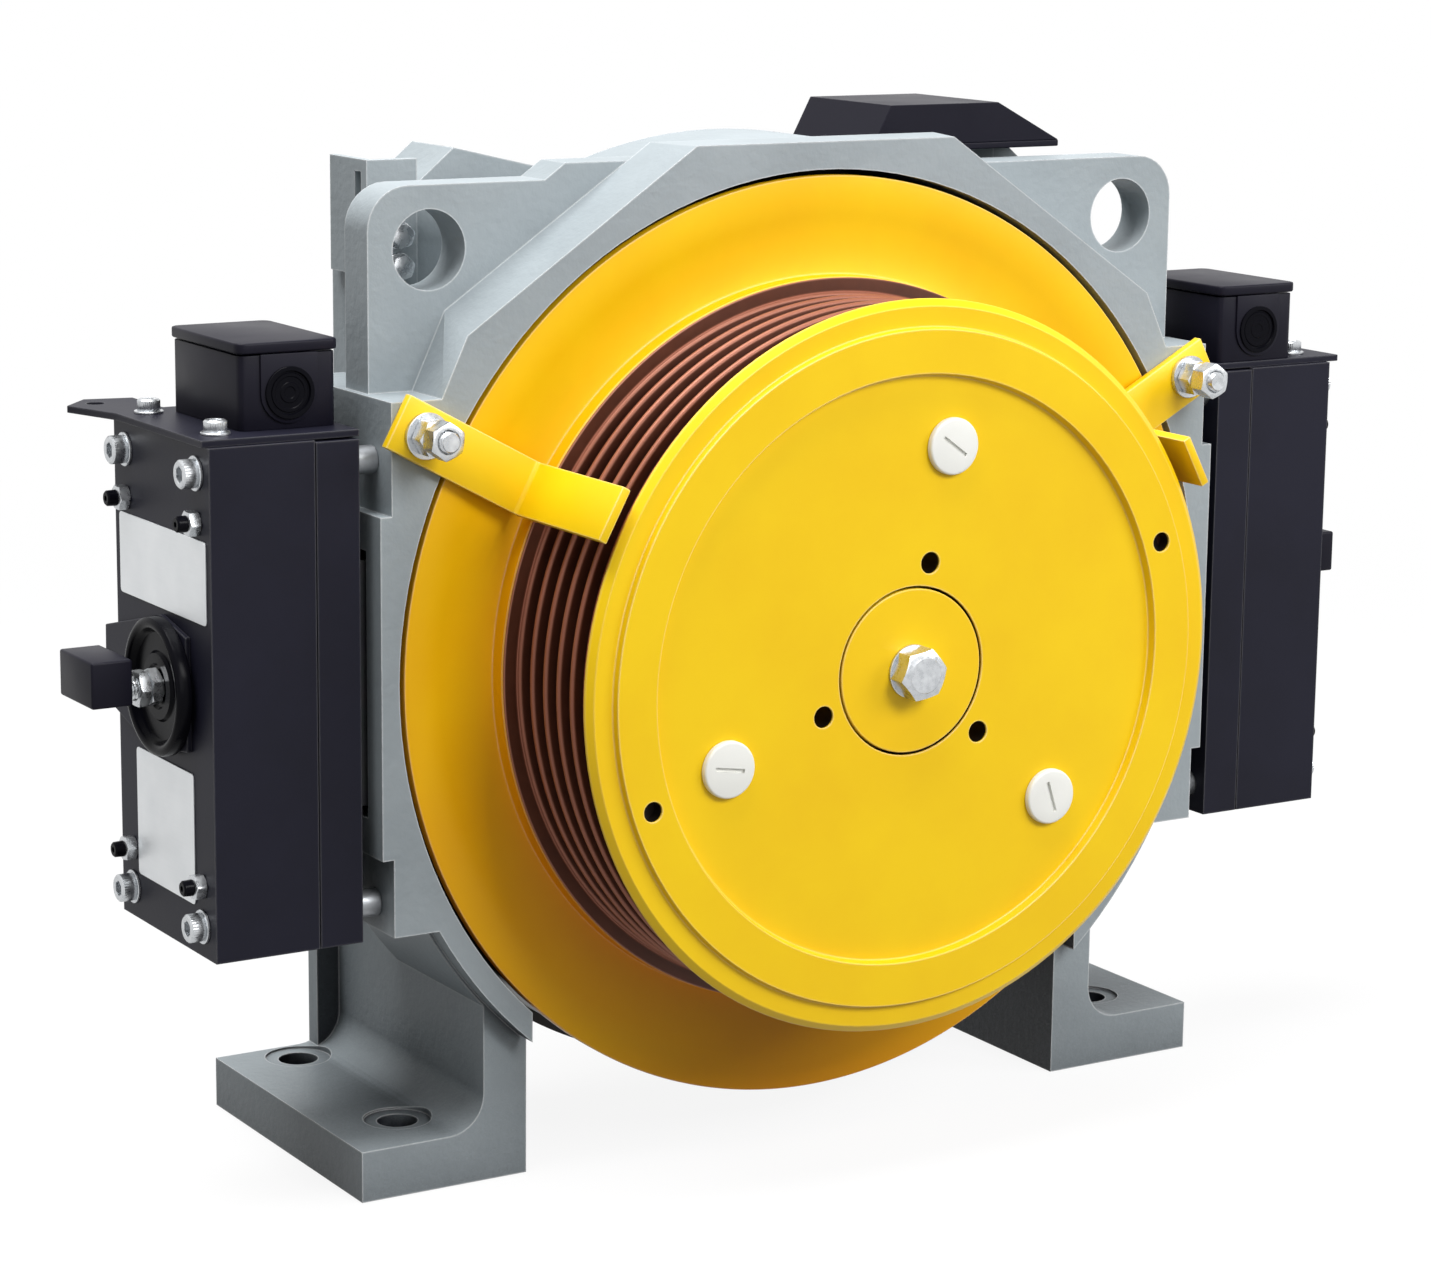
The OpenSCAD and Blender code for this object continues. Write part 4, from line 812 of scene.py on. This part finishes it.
LID_T, LID_OVERLAP, PAD_R = 6, 1.5, 17
shape, entries = bmesh.new(), bmesh.new()
for (low, high), (lid_low, lid_high), (plug_low, plug_high) in zip(
        solids("junction_boxes"), solids("junction_lids"), solids("entry_plugs")):
    x0, x1, y0, y1 = (c / MM for c in (low.x, high.x, low.y, high.y))
    slab(shape, rounded(x0, x1, y0, y1, 5.0), "z", low.z / MM, lid_low.z / MM + 2, 0.5, 2)
    lid_top, lid_seat = lid_high.z / MM, lid_high.z / MM - LID_T
    slab(shape, rounded(x0 - LID_OVERLAP, x1 + LID_OVERLAP, y0 - LID_OVERLAP, y1 + LID_OVERLAP,
                        6.0), "z", lid_seat, lid_top, 1.2, 3)
    entry = Vector(((plug_low.x + plug_high.x) / 2, low.y, (plug_low.z + plug_high.z) / 2))
    ex, ez = entry.x / MM, entry.z / MM
    pad = [(ex + PAD_R * math.cos(math.radians(d)), ez + PAD_R * math.sin(math.radians(d)))
           for d in range(180, 361, 15)]
    pad += [(ex + PAD_R, lid_seat - 0.5), (ex - PAD_R, lid_seat - 0.5)]
    slab(shape, pad, "y", y0 - 1.4, y0 + 1, 0.5, 2)
    spin(entries, entry, (0, -1, 0), lambda angle: [
        (0, 1.5), (3.0, 1.5), (3.4, 1.9), (5.4, 1.9), (5.8, 1.5), (8.6, 1.5), (9.0, 1.9),
        (10.6, 1.9), (11.0, 1.5), (11.6, 1.5), (12.2, 2.8), (14.2, 2.8), (14.5, 2.5),
        (14.5, 1.2)], 96)
fit("junction_box_mouldings", shape, black_plastic, "housing",
    ["junction_boxes", "junction_lids"])
fit("entry_knock_outs", entries, black_rubber, "housing", ["entry_plugs"])


# --- Terminal box --------------------------------------------------------------------------
# Moulded black cover with sloping ends over a low box, screwed to the housing's top. Its
# edges have a small radius, and a cut-out at the rear lets the motor cable in.

dress("terminal_lid", black_plastic, 1.4, 3)
dress("terminal_box", black_plastic, 0.8)


# --- Side bracket --------------------------------------------------------------------------
# Angle of 5 mm plate in the housing's grey enamel, with a long slot for the rope brake's
# cable, held on the left shoulder by two M8 hexagon screws.

dress("side_bracket", grey_enamel, 0.8)
shape = bmesh.new()
bracket_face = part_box("side_bracket")[0].y
for low, high in solids("bracket_bolts"):
    seat = Vector(((low.x + high.x) / 2, bracket_face, (low.z + high.z) / 2))
    spin(shape, seat, (0, -1, 0), ring(4.2, 8, 0, 1.6, 0.25))
    spin(shape, seat, (0, -1, 0), hexagon(M8_FLATS, 0, 1.6, 7.0, 0.3, dished=False))
fit("bracket_hexagon_screws", shape, bright_zinc, "housing", ["bracket_bolts"])


# --- Covers and encoder --------------------------------------------------------------------
# Turned bearing covers in grey enamel with blackened socket screws, and the encoder's round
# black housing behind the rear one, with its cable gland pointing down.

dress("front_cover", grey_enamel, 0.5)
dress("rear_cover", grey_enamel, 0.8)
HEAD_T = 4.0
shape = bmesh.new()
for low, high in solids("cover_screws"):
    rear = high.y > 0
    seat = Vector(((low.x + high.x) / 2, high.y - HEAD_T * MM if rear else low.y + HEAD_T * MM,
                   (low.z + high.z) / 2))
    spin(shape, seat, (0, 1 if rear else -1, 0), socket_head(5.0, HEAD_T, 4.0))
fit("cover_cap_screws", shape, black_screw, "housing", ["cover_screws"])
dress("encoder_body", black_plastic, 1.0, 3)


# --- Floor, lights and camera --------------------------------------------------------------
# Plain studio: a pale floor that looks white from far and keeps a soft shadow near the feet,
# a wide lamp overhead, one above the front, weaker ones at the sides.

def seen_straight(tree, ray):
    """1 for the camera's own rays and those that metal or glass sends on, otherwise 0."""
    straight = ray.outputs["Is Camera Ray"]
    for kind in ("Is Glossy Ray", "Is Transmission Ray"):
        straight = add(tree, "ShaderNodeMath", {"operation": "MAXIMUM"},
                       {0: straight, 1: ray.outputs[kind]}).outputs[0]
    return straight


floor_paint = bpy.data.materials.new("pale_floor")
floor_paint.use_nodes = True
tree = floor_paint.node_tree
tree.nodes.clear()
ray = add(tree, "ShaderNodeLightPath")
# Other rays meet a grey floor, so that it throws little light up at the machine.
shade = add(tree, "ShaderNodeMix", {"data_type": "RGBA", 6: srgb("#747474"), 7: srgb("#fafafa")},
            {0: ray.outputs["Is Camera Ray"]})
matt = add(tree, "ShaderNodeBsdfDiffuse", None, {"Color": shade.outputs[2]})
glow = add(tree, "ShaderNodeEmission", {"Color": (1, 1, 1, 1), "Strength": 1.0})
straight = seen_straight(tree, ray)
# The floor's own white is full from 2.4 m out. Near the machine it leaves a tenth to shadow.
away = add(tree, "ShaderNodeVectorMath", {"operation": "LENGTH"},
           {0: add(tree, "ShaderNodeTexCoord").outputs["Object"]})
share = add(tree, "ShaderNodeMapRange",
            {"interpolation_type": "SMOOTHSTEP", 1: 0.5, 2: 2.4, 3: 0.9},
            {0: away.outputs["Value"]})
seen = add(tree, "ShaderNodeMath", {"operation": "MULTIPLY"},
           {0: straight, 1: share.outputs[0]})
both = add(tree, "ShaderNodeMixShader", None,
           {0: seen.outputs[0], 1: matt.outputs[0], 2: glow.outputs[0]})
add(tree, "ShaderNodeOutputMaterial", None, {"Surface": both.outputs[0]})

FLOOR_HALF = 15.0
FLOOR_DROP = 0.0005
floor_mesh = bpy.data.meshes.new("floor")
floor_mesh.from_pydata([(x * FLOOR_HALF, y * FLOOR_HALF, 0)
                        for x, y in ((-1, -1), (1, -1), (1, 1), (-1, 1))], [], [(0, 1, 2, 3)])
floor_mesh.materials.append(floor_paint)
floor = bpy.data.objects.new("floor", floor_mesh)
floor.location.z = -FLOOR_DROP
bpy.context.scene.collection.objects.link(floor)

world = bpy.data.worlds.new("studio")
bpy.context.scene.world = world
world.use_nodes = True
tree = world.node_tree
tree.nodes.clear()
ray = add(tree, "ShaderNodeLightPath")
level = add(tree, "ShaderNodeMapRange", {3: 0.055, 4: 1.0}, {0: seen_straight(tree, ray)})
sky = add(tree, "ShaderNodeBackground", {"Color": (1, 1, 1, 1)}, {"Strength": level.outputs[0]})
add(tree, "ShaderNodeOutputWorld", None, {"Surface": sky.outputs[0]})

MACHINE_MIDDLE = Vector((0, 0, 0.3))


def lamp(name, place, width, power):
    """A square softbox that faces the machine: width in m, power in W."""
    light = bpy.data.lights.new(name, "AREA")
    light.shape = "RECTANGLE"
    light.size = light.size_y = width
    light.energy = power
    holder = bpy.data.objects.new(name, light)
    holder.location = place
    holder.rotation_euler = (MACHINE_MIDDLE - Vector(place)).to_track_quat("-Z", "Y").to_euler()
    bpy.context.scene.collection.objects.link(holder)


lamp("key_softbox", (0.6, -2.9, 2.3), 1.3, 76)
lamp("front_softbox", (-0.6, -2.9, 1.0), 1.3, 8)
lamp("left_softbox", (-2.0, -1.2, 2.4), 1.3, 7)
lamp("top_softbox", (-0.7, 0.0, 3.0), 2.0, 134)
lamp("right_softbox", (2.2, -2.0, 1.6), 1.3, 40)

CAMERA_PLACE = (-1.2132, -1.9842, 0.7582)
AZIMUTH, ELEVATION, ROLL = -31.556, 11.592, 0.613
eye = bpy.data.cameras.new("camera")
eye.sensor_width = 36.0
eye.lens = 96.67
azimuth, elevation, roll = (math.radians(a) for a in (AZIMUTH, ELEVATION, ROLL))
back = Vector((math.sin(azimuth) * math.cos(elevation), -math.cos(azimuth) * math.cos(elevation),
               math.sin(elevation)))
right = Vector((math.cos(azimuth), math.sin(azimuth), 0))
up = back.cross(right)
right, up = (right * math.cos(roll) + up * math.sin(roll),
             up * math.cos(roll) - right * math.sin(roll))
camera = bpy.data.objects.new("camera", eye)
turn = Matrix((right, up, back)).transposed()
camera.matrix_world = Matrix.Translation(CAMERA_PLACE) @ turn.to_4x4()
bpy.context.scene.collection.objects.link(camera)
bpy.context.scene.camera = camera

bpy.context.scene.view_settings.view_transform = "Standard"
